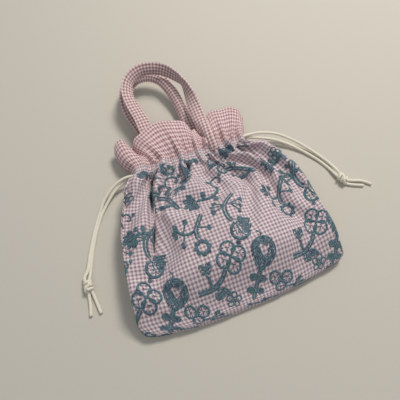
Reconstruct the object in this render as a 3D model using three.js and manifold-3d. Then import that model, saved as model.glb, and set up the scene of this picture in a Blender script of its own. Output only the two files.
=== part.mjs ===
import * as THREE from 'three';
import { mergeVertices } from 'three/addons/utils/BufferGeometryUtils.js';
import Module from 'manifold-3d';

// A drawstring pouch of gingham cotton, lying on its back with its mouth half gathered.
// Millimetres. +Z is up from the surface it lies on, +Y runs from the bottom to the mouth and the
// handles, and +X is to the right. The origin is the middle of the pouch and handles, at the surface.

// ---- driving dimensions ----
const HALF_LENGTH = 123;      // bottom edge to the middle, and the middle to the top of the handles
const CLOTH = 1.2;            // one wall: two plies of cotton
const GAP = 0.3;              // clearance between pieces that touch
const SEAM_Z = 11;            // height of the side and bottom seams
const NECK_Y = 14;            // where the body panels are sewn to the collar
const CASING_TOP_Y = 24;      // upper stitch line of the drawstring casing
const COLLAR_TOP_Y = 51;      // mean top edge of the ruffle
const SLIT_HALF = 3.5;        // half height of the side slit where the cords come out
const STRAP_WIDTH = 14;
const STRAP_THICK = 2;
const CORD_DIAMETER = 2.8;
const KNOT_SIZE = [11.5, 8.4, 8];   // a single overhand knot of two cords: long, wide, high

const ACROSS = 24;            // facets across a panel
const SQUARENESS = 2.6;       // fullness of a panel's cross-section

// Half outlines of the pouch seen from above: [y, x], from the bottom to the neck.
const RIGHT_EDGE = [
  [-123, 80], [-119, 90], [-112, 94], [-98, 91.5], [-78, 87], [-36, 86], [-25, 83.5], [-3, 70], [16, 56],
];
const LEFT_EDGE = [
  [-123, -84], [-118, -92], [-111, -94], [-74, -93], [-35, -87], [-4, -75], [16, -62],
];
// The collar: narrowest along the casing, then flaring to its ruffle.
const COLLAR_RIGHT = [[14, 56], [19, 54.5], [24, 54.5], [34, 57.5], [52, 60]];
const COLLAR_LEFT = [[14, -62], [19, -60], [24, -60], [34, -63], [52, -66]];

// Middle profiles, [y, z], from the bottom seam up over the front or down under the back.
const FRONT_PROFILE = [
  [-HALF_LENGTH, SEAM_Z + GAP / 2], [-122.6, 17], [-118, 23], [-106, 27], [-82, 30.5],
  [-48, 31], [-18, 28], [0, 24.5], [NECK_Y, 22.5],
];
const BACK_PROFILE = [
  [-HALF_LENGTH, SEAM_Z - GAP / 2], [-122.4, 4], [-117, -0.5], [-108, -2], [-70, -2], [-20, -2],
  [4, -1.5], [NECK_Y, -0.5],
];
const COLLAR_FRONT_PROFILE = [[NECK_Y + GAP, 22.5], [19, 22], [24, 22], [34, 24], [COLLAR_TOP_Y, 27]];
const COLLAR_BACK_PROFILE = [[NECK_Y + GAP, -0.5], [19, 0], [24, 0], [34, -0.5], [COLLAR_TOP_Y, -1]];

// Handles: [x, y, z, roll in degrees]; a negative roll drops the inner edge of the strap.
const FRONT_STRAP = [
  [-32, 26, 16.2, 0], [-33, 46, 17.6, 0], [-35, 68, 20, -6], [-38.3, 86, 22.5, -18], [-38.6, 99, 24.5, -38],
  [-33, 112, 26, -55], [-20.5, 118.7, 27, -62], [-8, 116.4, 27, -62], [1, 111, 26.5, -62],
  [9, 102, 25.5, -66], [15.5, 92, 24, -74], [18, 80, 22.5, -60], [18, 66, 20.5, -25],
  [18.8, 46, 18.2, 0], [19.6, 26, 16.8, 0],
];
const BACK_STRAP = [
  [-31, 26, 4.2, 0], [-32.5, 46, 5.4, 0], [-35, 66, 8, 0], [-37.5, 83, 10.5, -6], [-37, 97, 13, -14],
  [-32, 108.5, 15, -20], [-22, 114.5, 16, -20], [-11.5, 113, 16, -20], [-3, 105, 15.2, -16],
  [1.6, 93, 13.4, -10], [4.4, 79, 11, -4], [6.2, 64, 8.4, 0], [8, 46, 5.4, 0], [9, 26, 4.2, 0],
];

// Cords, from the knot along one strand, round inside the casing and back along the other.
const RIGHT_CORD = [
  [127.2, -42.2, 4.6], [124.6, -31, 2.6], [118.9, -19, 2.2], [108.6, -4.4, 3.8], [97, 7.2, 6.6],
  [84.8, 15.6, 9.4], [71, 20, 11.8], [60, 21.4, 12.6], [50, 21, 13.6], [40, 20.5, 16.2], [24, 20.5, 18.3],
  [-5, 20.5, 18.8], [-30, 20.5, 18.2], [-45, 20.5, 16], [-53.5, 20.5, 12], [-53, 20.5, 8.4],
  [-44, 20.5, 4.9], [-28, 20.5, 3.6], [0, 20.5, 3.2], [26, 20.5, 3.6], [40, 20.5, 5.8], [49, 20.6, 8.8],
  [59, 19.8, 9.6], [70, 16.2, 8.4], [82.6, 10.8, 6.4], [94.6, 2.6, 4], [105.2, -8, 2.2],
  [115.2, -21.4, 1.5], [121, -32.6, 1.5], [123.9, -42.4, 3],
];
const LEFT_CORD = [
  [-126.2, -59.4, 4.4], [-122.2, -52.4, 2.6], [-116.8, -38.4, 1.6], [-109.4, -22.4, 1.6], [-99.8, -5.6, 2.6],
  [-90.4, 6.4, 5.6], [-79.6, 14, 9], [-69, 17.2, 11.8], [-59, 17, 12.8], [-49, 16.6, 14.4], [-36, 16.5, 17.6],
  [-18, 16.5, 18.8], [0, 16.5, 19], [20, 16.5, 18.4], [38, 16.5, 15.8], [48, 16.5, 12], [47.5, 16.5, 8.4],
  [38, 16.5, 4.6], [20, 16.5, 3.4], [-8, 16.5, 3.2], [-34, 16.5, 4.6], [-49, 16.5, 8.4], [-59, 17, 9.6],
  [-68.6, 15.6, 8.4], [-80.6, 10.2, 5.6], [-91.6, 0.6, 3], [-101, -11, 1.6], [-109.4, -26.4, 1.5],
  [-116.4, -43.2, 1.5], [-120.6, -55.6, 2.2], [-122.4, -60.6, 3.4],
];
const RIGHT_KNOT = { at: [127.6, -48.4, 4.05], turn: -62 };
const RIGHT_TAILS = [
  [[128, -50, 3.4], [132, -51.6, 2.6], [138, -53.6, 1.6], [145, -56.4, 1.5], [152.5, -62.6, 1.5]],
  [[127, -51, 2.6], [130.4, -54.4, 1.6], [137, -58, 1.5], [144.6, -61.2, 1.5]],
];
const LEFT_KNOT = { at: [-124.6, -66.2, 4.05], turn: -95 };
const LEFT_TAILS = [
  [[-125.6, -68, 3.4], [-126.4, -74, 1.9], [-127.4, -83, 1.5], [-129, -91, 1.5]],
  [[-123.6, -68, 3.4], [-122.6, -74, 1.9], [-121.4, -83, 1.5], [-120.2, -91.6, 1.5]],
];

// ---- colours and finishes ----
const EMBROIDERED = { color: 0xb59aa8, roughness: 0.9, metalness: 0 };
const GINGHAM = { color: 0xc7a4ae, roughness: 0.9, metalness: 0 };
const STRAP = { color: 0xbf98a3, roughness: 0.9, metalness: 0 };
const CORD = { color: 0xebe4d4, roughness: 0.8, metalness: 0 };

// ---- helpers ----

// Smooth value of a table of [position, value] pairs, held level beyond its ends.
function along(table, position) {
  const last = table.length - 1;
  if (position <= table[0][0]) return table[0][1];
  if (position >= table[last][0]) return table[last][1];
  const i = table.findIndex((row) => row[0] > position) - 1;
  const slope = (k) => {
    const a = table[Math.max(k - 1, 0)];
    const b = table[Math.min(k + 1, last)];
    return (b[1] - a[1]) / (b[0] - a[0]);
  };
  const span = table[i + 1][0] - table[i][0];
  const t = (position - table[i][0]) / span;
  const t2 = t * t;
  const t3 = t2 * t;
  return (2 * t3 - 3 * t2 + 1) * table[i][1] + (t3 - 2 * t2 + t) * span * slope(i)
    + (3 * t2 - 2 * t3) * table[i + 1][1] + (t3 - t2) * span * slope(i + 1);
}

// A closed solid between two grids of points with the same rows and columns: an outer and an inner skin.
function sheetSolid(outer, inner) {
  const rows = outer.length;
  const columns = outer[0].length;
  const positions = [...outer.flat(), ...inner.flat()].flatMap((p) => [p.x, p.y, p.z]);
  const out = (r, c) => r * columns + c;
  const into = (r, c) => rows * columns + r * columns + c;
  const index = [];
  const quad = (a, b, c, d) => index.push(a, b, c, a, c, d);
  for (let r = 0; r < rows - 1; r += 1) {
    for (let c = 0; c < columns - 1; c += 1) {
      quad(out(r, c), out(r, c + 1), out(r + 1, c + 1), out(r + 1, c));
      quad(into(r, c), into(r + 1, c), into(r + 1, c + 1), into(r, c + 1));
    }
    quad(out(r + 1, 0), into(r + 1, 0), into(r, 0), out(r, 0));
    quad(out(r, columns - 1), into(r, columns - 1), into(r + 1, columns - 1), out(r + 1, columns - 1));
  }
  for (let c = 0; c < columns - 1; c += 1) {
    quad(out(0, c), into(0, c), into(0, c + 1), out(0, c + 1));
    quad(out(rows - 1, c + 1), into(rows - 1, c + 1), into(rows - 1, c), out(rows - 1, c));
  }
  const geometry = new THREE.BufferGeometry();
  geometry.setAttribute('position', new THREE.Float32BufferAttribute(positions, 3));
  geometry.setIndex(index);
  geometry.computeVertexNormals();
  return geometry;
}

// A wall of the flattened bag: half of a rounded cross-section, carried along a middle profile.
// side is +1 over the front and -1 under the back; a back wall is pressed flat at the surface.
function wall({ profile, steps, side, left, right, slit, edgeWave = () => 0 }) {
  const middle = new THREE.SplineCurve(profile.map(([y, z]) => new THREE.Vector2(y, z)));
  const skin = (depth) => {
    const rows = [];
    for (let r = 0; r <= steps; r += 1) {
      const point = middle.getPoint(r / steps);
      const tangent = middle.getTangent(r / steps);
      const y = point.x + side * tangent.y * depth;
      const top = point.y - side * tangent.x * depth;
      const seam = SEAM_Z + side * Math.max(slit(y), GAP / 2);
      const low = along(left, y) + depth;
      const high = along(right, y) - depth;
      const row = [];
      for (let c = 0; c <= ACROSS; c += 1) {
        const angle = Math.PI * (1 - c / ACROSS);
        const s = Math.sign(Math.cos(angle)) * Math.abs(Math.cos(angle)) ** (2 / SQUARENESS);
        const rise = Math.sin(angle) ** (2 / SQUARENESS);
        const x = (low + high) / 2 + s * (high - low) / 2;
        const z = seam + (top - seam) * rise + side * edgeWave(s, y) * rise;
        row.push(new THREE.Vector3(x, y, side > 0 ? z : Math.max(z, depth)));
      }
      rows.push(side > 0 ? row : row.reverse());
    }
    return rows;
  };
  return sheetSolid(skin(0), skin(CLOTH));
}

// A flat strap along a line of stations, each with its own roll about the line.
function strap(stations) {
  const line = new THREE.CatmullRomCurve3(stations.map(([x, y, z]) => new THREE.Vector3(x, y, z)));
  const rolls = stations.map((station, i) => [i / (stations.length - 1), station[3]]);
  const steps = stations.length * 3;
  const top = [];
  const under = [];
  for (let i = 0; i <= steps; i += 1) {
    const t = i / steps;
    const point = line.getPoint(t);
    const ahead = line.getTangent(t);
    const across = new THREE.Vector3().crossVectors(ahead, new THREE.Vector3(0, 0, 1)).normalize();
    across.applyAxisAngle(ahead, -THREE.MathUtils.degToRad(along(rolls, t)));
    const up = new THREE.Vector3().crossVectors(across, ahead).normalize();
    const edge = (w, h) => point.clone().addScaledVector(across, w).addScaledVector(up, h);
    const w = STRAP_WIDTH / 2;
    const h = STRAP_THICK / 2;
    top.push([edge(-w, h), edge(w, h)]);
    under.push([edge(-w, -h), edge(w, -h)]);
  }
  return sheetSolid(top, under);
}

// A round cord along a list of points.
function tube(points, steps) {
  const section = new THREE.Shape();
  const sides = 8;
  for (let i = 0; i < sides; i += 1) {
    const angle = 2 * Math.PI * i / sides;
    const radius = CORD_DIAMETER / 2;
    if (i === 0) section.moveTo(radius, 0);
    else section.lineTo(radius * Math.cos(angle), radius * Math.sin(angle));
  }
  section.closePath();
  const path = new THREE.CatmullRomCurve3(points.map((p) => new THREE.Vector3(...p)));
  return new THREE.ExtrudeGeometry(section, { steps, bevelEnabled: false, extrudePath: path });
}

const wasm = await Module();
wasm.setup();

function toSolid(geometry) {
  const bare = geometry.clone();
  bare.deleteAttribute('normal');
  bare.deleteAttribute('uv');
  const merged = mergeVertices(bare, 1e-4);
  return new wasm.Manifold(new wasm.Mesh({
    numProp: 3,
    vertProperties: new Float32Array(merged.attributes.position.array),
    triVerts: new Uint32Array(merged.index.array),
  }));
}

function toGeometry(solid) {
  const mesh = solid.getMesh();
  const geometry = new THREE.BufferGeometry();
  geometry.setAttribute('position', new THREE.BufferAttribute(new Float32Array(mesh.vertProperties), 3));
  geometry.setIndex(new THREE.BufferAttribute(new Uint32Array(mesh.triVerts), 1));
  geometry.computeVertexNormals();
  return geometry;
}

// The knot that ties a cord's two ends together, with the tails that stick out of it.
function knot({ at, turn }, tails) {
  const ball = new THREE.SphereGeometry(0.5, 12, 8);
  ball.scale(...KNOT_SIZE);
  ball.rotateZ(THREE.MathUtils.degToRad(turn));
  ball.translate(...at);
  const solid = tails.reduce((sum, points) => sum.add(toSolid(tube(points, 8))), toSolid(ball));
  return toGeometry(solid);
}

function piece(name, geometry, finish) {
  const mesh = new THREE.Mesh(geometry, new THREE.MeshStandardMaterial(finish));
  mesh.name = name;
  return mesh;
}

// ---- body: an embroidered front and back panel ----
const closedSeam = () => 0;
const frontPanel = wall({
  profile: FRONT_PROFILE, steps: 21, side: 1, left: LEFT_EDGE, right: RIGHT_EDGE, slit: closedSeam,
});
const backPanel = wall({
  profile: BACK_PROFILE, steps: 15, side: -1, left: LEFT_EDGE, right: RIGHT_EDGE, slit: closedSeam,
});

// ---- collar: the drawstring casing and the ruffle above it, open at the sides along the casing ----
const casingSlit = (y) => SLIT_HALF * THREE.MathUtils.clamp((CASING_TOP_Y + 5 - y) / 5, 0, 1);
const ruffleFlare = (y) => THREE.MathUtils.smoothstep(y, CASING_TOP_Y, COLLAR_TOP_Y);
const RUFFLE_WAVES = 4;
const RUFFLE_HEIGHT = 3;
const ruffle = (s, y) => RUFFLE_HEIGHT * ruffleFlare(y) * (1 + Math.cos(2 * Math.PI * RUFFLE_WAVES * s)) / 2;
const collarFront = wall({
  profile: COLLAR_FRONT_PROFILE, steps: 7, side: 1, left: COLLAR_LEFT, right: COLLAR_RIGHT,
  slit: casingSlit, edgeWave: ruffle,
});
const collarBack = wall({
  profile: COLLAR_BACK_PROFILE, steps: 7, side: -1, left: COLLAR_LEFT, right: COLLAR_RIGHT, slit: casingSlit,
});

// ---- the finished pouch ----
const pouch = new THREE.Group();
pouch.name = 'drawstring_pouch';

const body = new THREE.Group();
body.add(piece('front_panel', frontPanel, EMBROIDERED), piece('back_panel', backPanel, EMBROIDERED));

const collar = new THREE.Group();
collar.add(piece('collar_front', collarFront, GINGHAM), piece('collar_back', collarBack, GINGHAM));

const handles = new THREE.Group();
handles.add(piece('handle_front', strap(FRONT_STRAP), STRAP), piece('handle_back', strap(BACK_STRAP), STRAP));

const CORD_STEPS = 76;
const cords = new THREE.Group();
cords.add(
  piece('left_cord', tube(LEFT_CORD, CORD_STEPS), CORD),
  piece('left_knot', knot(LEFT_KNOT, LEFT_TAILS), CORD),
  piece('right_cord', tube(RIGHT_CORD, CORD_STEPS), CORD),
  piece('right_knot', knot(RIGHT_KNOT, RIGHT_TAILS), CORD),
);

pouch.add(body, collar, handles, cords);

export default pouch;
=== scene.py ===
"""Looks of a gathered drawstring pouch: gingham cotton with blue embroidery, two cords and two handles.

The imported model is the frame. Every soft piece is rebuilt here in metres, in the same frame. The bag is a
boxed sack that a cloth simulation gathers into its casing, and formulas then give it its filled outline and
its deeper creases. The ruffle grows out of that casing, the handles are ribbons, and the embroidery is
thousands of separate stitches laid on the cloth.
"""
import logging
import math
from collections.abc import Callable, Sequence
from dataclasses import dataclass, field
from enum import Enum

import bmesh
import bpy
import numpy as np
from mathutils import Matrix, Quaternion, Vector


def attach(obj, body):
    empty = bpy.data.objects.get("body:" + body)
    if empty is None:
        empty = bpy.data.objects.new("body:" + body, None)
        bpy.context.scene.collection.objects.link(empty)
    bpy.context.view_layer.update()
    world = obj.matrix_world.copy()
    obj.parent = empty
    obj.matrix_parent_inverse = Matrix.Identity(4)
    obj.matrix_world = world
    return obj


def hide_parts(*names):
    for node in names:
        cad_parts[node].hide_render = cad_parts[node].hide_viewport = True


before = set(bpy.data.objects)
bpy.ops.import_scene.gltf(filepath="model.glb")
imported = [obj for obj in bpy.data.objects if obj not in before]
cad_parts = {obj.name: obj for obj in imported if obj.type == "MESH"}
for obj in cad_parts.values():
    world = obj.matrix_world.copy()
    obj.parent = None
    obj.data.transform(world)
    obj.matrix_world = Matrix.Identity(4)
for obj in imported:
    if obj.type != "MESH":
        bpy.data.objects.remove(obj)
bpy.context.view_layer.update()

log = logging.getLogger("pouch")
MM = 0.001
BODY = "root"
CLOTH_MAP = "cloth"
Point = tuple[float, float, float]


class Slot(Enum):
    """The record's material slots."""

    EMBROIDERED = "embroidered_cloth"
    GINGHAM = "gingham_cloth"
    STRAP = "strap_cloth"
    CORD = "cord"


# ---------------------------------------------------------------- lines and meshes


def smooth_line(points: Sequence[Sequence[float]], spans: int = 8) -> np.ndarray:
    """Run a smooth curve through a few chosen points.

    Args:
        points: the points it passes through, in order.
        spans: how many steps it takes between two of them.
    Returns:
        The points of the curve, one row each.
    """
    p = np.array(points, float)
    p = np.vstack([2 * p[0] - p[1], p, 2 * p[-1] - p[-2]])
    t = np.linspace(0, 1, spans, endpoint=False)[:, None]
    rows = []
    for a, b, c, d in zip(p, p[1:], p[2:], p[3:]):
        rows.append(0.5 * (2 * b + (c - a) * t + (2 * a - 5 * b + 4 * c - d) * t**2
                           + (3 * b - a - 3 * c + d) * t**3))
    return np.vstack(rows + [p[-2]])


def travelled(line: np.ndarray) -> np.ndarray:
    """Give the distance run along a line at each of its points."""
    return np.concatenate([[0.0], np.cumsum(np.linalg.norm(np.diff(line, axis=0), axis=1))])


def spaced(line: np.ndarray, fractions: np.ndarray) -> np.ndarray:
    """Pick points on a line by the fraction of its length run so far."""
    run = travelled(line)
    return np.stack([np.interp(fractions * run[-1], run, column) for column in line.T], axis=-1)


def grid_mesh(name: str, places: np.ndarray, flat: np.ndarray) -> bpy.types.Mesh:
    """Make a mesh of quads from a grid of places.

    Args:
        name: the mesh's name.
        places: rows x columns x 3, in metres.
        flat: rows x columns x 2, where each point lies on the flat cloth, in millimetres.
    Returns:
        The mesh, with the flat places as its cloth map.
    """
    rows, columns = places.shape[:2]
    bm = bmesh.new()
    bmesh.ops.create_grid(bm, x_segments=columns - 1, y_segments=rows - 1, size=1.0)
    mesh = bpy.data.meshes.new(name)
    bm.to_mesh(mesh)
    bm.free()
    mesh.vertices.foreach_set("co", places.astype(float).ravel())
    corners = np.empty(len(mesh.loops), int)
    mesh.loops.foreach_get("vertex_index", corners)
    mesh.uv_layers.new(name=CLOTH_MAP).data.foreach_set("uv", flat.reshape(-1, 2)[corners].ravel())
    mesh.polygons.foreach_set("use_smooth", [True] * len(mesh.polygons))
    mesh.update()
    return mesh


def welded(name: str, meshes: Sequence[bpy.types.Mesh], closed: bool = False) -> bpy.types.Mesh:
    """Join meshes into one and weld the points that meet.

    Args:
        name: the new mesh's name.
        meshes: the meshes, which are used up.
        closed: fill the open ends and turn every face outwards.
    Returns:
        The joined mesh.
    """
    bm = bmesh.new()
    for mesh in meshes:
        bm.from_mesh(mesh)
        bpy.data.meshes.remove(mesh)
    bmesh.ops.remove_doubles(bm, verts=bm.verts, dist=1e-6)
    if closed:
        bmesh.ops.holes_fill(bm, edges=[e for e in bm.edges if e.is_boundary], sides=0)
        bmesh.ops.recalc_face_normals(bm, faces=bm.faces)
    for face in bm.faces:
        face.smooth = True
    joined = bpy.data.meshes.new(name)
    bm.to_mesh(joined)
    bm.free()
    return joined


def tube_mesh(name: str, line: np.ndarray, radius: float, sides: int = 10) -> bpy.types.Mesh:
    """Make a closed round cord along a line.

    Args:
        name: the mesh's name.
        line: the centre line, one point a row.
        radius: half the cord's thickness.
        sides: facets round it.
    Returns:
        A closed mesh whose cloth map runs round (0 to 1) and along (millimetres).
    """
    ahead = np.gradient(line, axis=0)
    ahead /= np.linalg.norm(ahead, axis=1)[:, None]
    across = Vector(ahead[0]).orthogonal().normalized()
    rings = []
    for i, centre in enumerate(line):
        if i:
            across = Vector(ahead[i - 1]).rotation_difference(Vector(ahead[i])) @ across
        up = Vector(ahead[i]).cross(across)
        side, top = np.array(across), np.array(up)
        rings.append([np.array(centre) + radius * (math.cos(a) * side + math.sin(a) * top)
                      for a in np.linspace(0, 2 * math.pi, sides + 1)])
    around, along = np.meshgrid(np.linspace(0, 1, sides + 1), travelled(line) / MM)
    flat = np.stack([around, along], axis=-1)
    return welded(name, [grid_mesh(name, np.array(rings), flat)], closed=True)


def place(name: str, mesh: bpy.types.Mesh, material: bpy.types.Material) -> bpy.types.Object:
    """Put a finished mesh in the scene, riding on the body and wearing its finish.

    Args:
        name: the piece's name.
        mesh: its mesh, already in place.
        material: its finish.
    Returns:
        The piece.
    """
    piece = bpy.data.objects.new(name, mesh)
    mesh.name = name
    bpy.context.scene.collection.objects.link(piece)
    mesh.materials.clear()
    mesh.materials.append(material)
    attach(piece, BODY)
    log.info("%s: %d faces", name, len(mesh.polygons))
    return piece


def thicken(piece: bpy.types.Object, thickness: float, offset: float = -1.0) -> None:
    """Give a sheet its thickness, inwards unless told otherwise.

    Args:
        piece: the sheet.
        thickness: its thickness, in metres.
        offset: -1 puts all of it inside the sheet, and 0 half on each side.
    """
    ply = piece.modifiers.new("ply", "SOLIDIFY")
    ply.thickness = thickness
    ply.offset = offset
    ply.use_rim = True


# ---------------------------------------------------------------- finishes


def paint(red: float, green: float, blue: float) -> tuple[float, float, float, float]:
    """Turn a screen colour, 0 to 255, into the linear colour that a shader takes.

    Args:
        red: its red.
        green: its green.
        blue: its blue.
    Returns:
        The linear colour, opaque.
    """
    def linear(value: float) -> float:
        """Undo the screen's curve for one channel."""
        value /= 255
        return value / 12.92 if value <= 0.04045 else ((value + 0.055) / 1.055) ** 2.4
    return linear(red), linear(green), linear(blue), 1.0


@dataclass
class NodeBench:
    """A material under construction, with short ways to add its nodes."""

    name: str
    roughness: float = 0.9
    sheen: float = 0.0

    def __post_init__(self) -> None:
        """Start the material and set the shader's own values."""
        self.material = bpy.data.materials.new(self.name)
        self.material.use_nodes = True
        self.nodes = self.material.node_tree.nodes
        self.links = self.material.node_tree.links
        self.shader = self.nodes["Principled BSDF"]
        self.shader.inputs["Roughness"].default_value = self.roughness
        self.shader.inputs["Sheen Weight"].default_value = self.sheen
        self.shader.inputs["Sheen Roughness"].default_value = 0.5

    def math(self, operation: str, *values: object) -> bpy.types.NodeSocket:
        """Add a Math node.

        Args:
            operation: what it does.
            values: its inputs, each a number or another node's output.
        Returns:
            Its output.
        """
        node = self.nodes.new("ShaderNodeMath")
        node.operation = operation
        for socket, value in zip(node.inputs, values):
            if isinstance(value, (int, float)):
                socket.default_value = value
            else:
                self.links.new(value, socket)
        return node.outputs[0]

    def mix(self, factor: object, first: object, second: object, blend: str = "MIX") -> bpy.types.NodeSocket:
        """Mix two colours.

        Args:
            factor: how much of the second, a number or an output.
            first: a colour or an output.
            second: a colour or an output.
            blend: how they mix.
        Returns:
            The mixed colour.
        """
        node = self.nodes.new("ShaderNodeMixRGB")
        node.blend_type = blend
        for socket, value in zip(node.inputs, (factor, first, second)):
            if isinstance(value, (int, float, tuple)):
                socket.default_value = value
            else:
                self.links.new(value, socket)
        return node.outputs[0]

    def noise(self, scale: float, detail: float = 2.0) -> bpy.types.NodeSocket:
        """Add noise on the object's own coordinates.

        Args:
            scale: how many lumps a metre holds.
            detail: how many finer layers it has.
        Returns:
            Its value.
        """
        where = self.nodes.new("ShaderNodeTexCoord")
        node = self.nodes.new("ShaderNodeTexNoise")
        node.inputs["Scale"].default_value = scale
        node.inputs["Detail"].default_value = detail
        self.links.new(where.outputs["Object"], node.inputs["Vector"])
        return node.outputs["Fac"]

    def cloth_axes(self) -> tuple[bpy.types.NodeSocket, bpy.types.NodeSocket]:
        """Read the cloth map.

        Returns:
            Its two axes.
        """
        where = self.nodes.new("ShaderNodeUVMap")
        where.uv_map = CLOTH_MAP
        axes = self.nodes.new("ShaderNodeSeparateXYZ")
        self.links.new(where.outputs["UV"], axes.inputs[0])
        return axes.outputs[0], axes.outputs[1]

    def colour(self, value: object) -> None:
        """Wire the base colour."""
        self.links.new(value, self.shader.inputs["Base Color"])

    def bump(self, height: object, distance: float, strength: float = 1.0) -> None:
        """Wire a height as bump.

        Args:
            height: the height, from 0 to 1.
            distance: how deep that is, in metres.
            strength: the share of it that shows.
        """
        node = self.nodes.new("ShaderNodeBump")
        node.inputs["Strength"].default_value = strength
        node.inputs["Distance"].default_value = distance
        self.links.new(height, node.inputs["Height"])
        self.links.new(node.outputs["Normal"], self.shader.inputs["Normal"])


@dataclass(frozen=True)
class Gingham:
    """Woven check: pale and rose threads cross, so both, one or neither of them is rose."""

    name: str
    period: float = 3.175      # one pale and one rose stripe, in millimetres
    thread: float = 0.40       # from one thread to the next, in millimetres
    pale: tuple[float, float, float] = (223, 211, 212)
    rose: tuple[float, float, float] = (148, 119, 129)
    wear: float = 0.10         # how far slubs and fading lighten or darken it

    def material(self) -> bpy.types.Material:
        """Build the cloth: stripes both ways, plain weave, slubs and a soft sheen.

        Returns:
            The finish.
        """
        bench = NodeBench(self.name, roughness=0.92, sheen=0.25)
        warp, weft = bench.cloth_axes()
        stripes = [self.stripe(bench, axis) for axis in (warp, weft)]
        threads = [bench.math("DIVIDE", axis, self.thread) for axis in (warp, weft)]
        turns = [bench.math("FLOOR", thread) for thread in threads]
        over = bench.math("PINGPONG", bench.math("ADD", turns[0], turns[1]), 1.0)
        rose = bench.mix(over, stripes[0], stripes[1])
        cloth = bench.mix(rose, paint(*self.pale), paint(*self.rose))
        slub = bench.math("MULTIPLY_ADD", bench.noise(420.0), self.wear * 2, 1.0 - self.wear)
        faded = bench.math("MULTIPLY_ADD", bench.noise(28.0), self.wear * 2, 1.0 - self.wear)
        bench.colour(bench.mix(1.0, bench.mix(1.0, cloth, slub, "MULTIPLY"), faded, "MULTIPLY"))
        rounded = [bench.math("ABSOLUTE", bench.math("SINE", bench.math("MULTIPLY", thread, math.pi)))
                   for thread in threads]
        bench.bump(bench.mix(over, rounded[0], rounded[1]), 0.08 * MM, 0.6)
        return bench.material

    def stripe(self, bench: NodeBench, axis: bpy.types.NodeSocket) -> bpy.types.NodeSocket:
        """Tell the rose threads from the pale ones along one axis.

        Args:
            bench: the material.
            axis: the place on the cloth, in millimetres.
        Returns:
            One on a rose stripe and nought on a pale one.
        """
        return bench.math("GREATER_THAN", bench.math("FRACT", bench.math("DIVIDE", axis, self.period)), 0.5)


@dataclass(frozen=True)
class Floss:
    """Embroidery thread: three close dye lots, told apart stitch by stitch."""

    name: str
    deep: tuple[float, float, float] = (44, 66, 88)
    mid: tuple[float, float, float] = (104, 138, 148)
    green: tuple[float, float, float] = (62, 108, 108)

    def material(self) -> bpy.types.Material:
        """Build the thread, with a soft gloss and the twist as bump.

        Returns:
            The finish.
        """
        bench = NodeBench(self.name, roughness=0.62, sheen=0.2)
        island = bench.nodes.new("ShaderNodeNewGeometry").outputs["Random Per Island"]
        tone = bench.mix(bench.math("POWER", island, 1.3), paint(*self.deep), paint(*self.mid))
        drift = bench.math("GREATER_THAN", bench.noise(90.0), 0.55)
        tone = bench.mix(bench.math("MULTIPLY", drift, 0.55), tone, paint(*self.green))
        bench.colour(tone)
        bench.bump(bench.noise(2600.0, 1.0), 0.10 * MM, 0.5)
        return bench.material


@dataclass(frozen=True)
class Braid:
    """Cream cotton cord: two sets of strands crossing round a core."""

    name: str
    cream: tuple[float, float, float] = (238, 231, 214)
    # painted shade: the tone the grooves between the strands are darkened to
    groove_shade: tuple[float, float, float] = (196, 186, 164)
    strands: int = 6
    lay: float = 3.4           # millimetres along the cord for one turn of a strand

    def material(self) -> bpy.types.Material:
        """Build the cord from its crossing strands, with painted shade in the grooves between them.

        Returns:
            The finish.
        """
        bench = NodeBench(self.name, roughness=0.8, sheen=0.3)
        around, along = bench.cloth_axes()
        turn = bench.math("MULTIPLY", around, float(self.strands))
        run = bench.math("DIVIDE", along, self.lay / self.strands)
        ridges = []
        for sign in (1.0, -1.0):
            phase = bench.math("MULTIPLY", bench.math("MULTIPLY_ADD", run, sign, turn), math.pi)
            ridges.append(bench.math("ABSOLUTE", bench.math("SINE", phase)))
        height = bench.math("MAXIMUM", ridges[0], ridges[1])
        # painted shade: cream on the ridges, darkened to the groove shade where the strands dip
        bench.colour(bench.mix(height, paint(*self.groove_shade), paint(*self.cream)))
        bench.bump(height, 0.16 * MM, 0.7)
        return bench.material


@dataclass(frozen=True)
class TableCloth:
    """A plain pale table."""

    name: str = "plain_table"
    tone: tuple[float, float, float] = (198, 192, 180)

    def material(self) -> bpy.types.Material:
        """Build the table's matt surface, all one tone but for a faint grain.

        Returns:
            The finish.
        """
        bench = NodeBench(self.name, roughness=0.95)
        grain = bench.math("MULTIPLY_ADD", bench.noise(900.0), 0.06, 0.97)
        bench.colour(bench.mix(1.0, paint(*self.tone), grain, "MULTIPLY"))
        return bench.material


@dataclass
class Finishes:
    """Every finish on the pouch, made once."""

    bag: bpy.types.Material = field(init=False)
    collar: bpy.types.Material = field(init=False)
    strap: bpy.types.Material = field(init=False)
    floss: bpy.types.Material = field(init=False)
    seam: bpy.types.Material = field(init=False)
    cord: bpy.types.Material = field(init=False)

    def __post_init__(self) -> None:
        """Build the materials."""
        self.bag = Gingham("gingham_bag").material()
        self.collar = Gingham("gingham_collar", pale=(234, 212, 209), rose=(156, 106, 112)).material()
        self.strap = Gingham("gingham_strap", pale=(230, 210, 205), rose=(148, 101, 107)).material()
        self.floss = Floss("blue_floss").material()
        self.seam = Floss("rose_seam_thread", deep=(196, 160, 160), mid=(216, 184, 182),
                          green=(206, 172, 172)).material()
        self.cord = Braid("cream_braid").material()


# ---------------------------------------------------------------- table, lamps and camera


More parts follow.
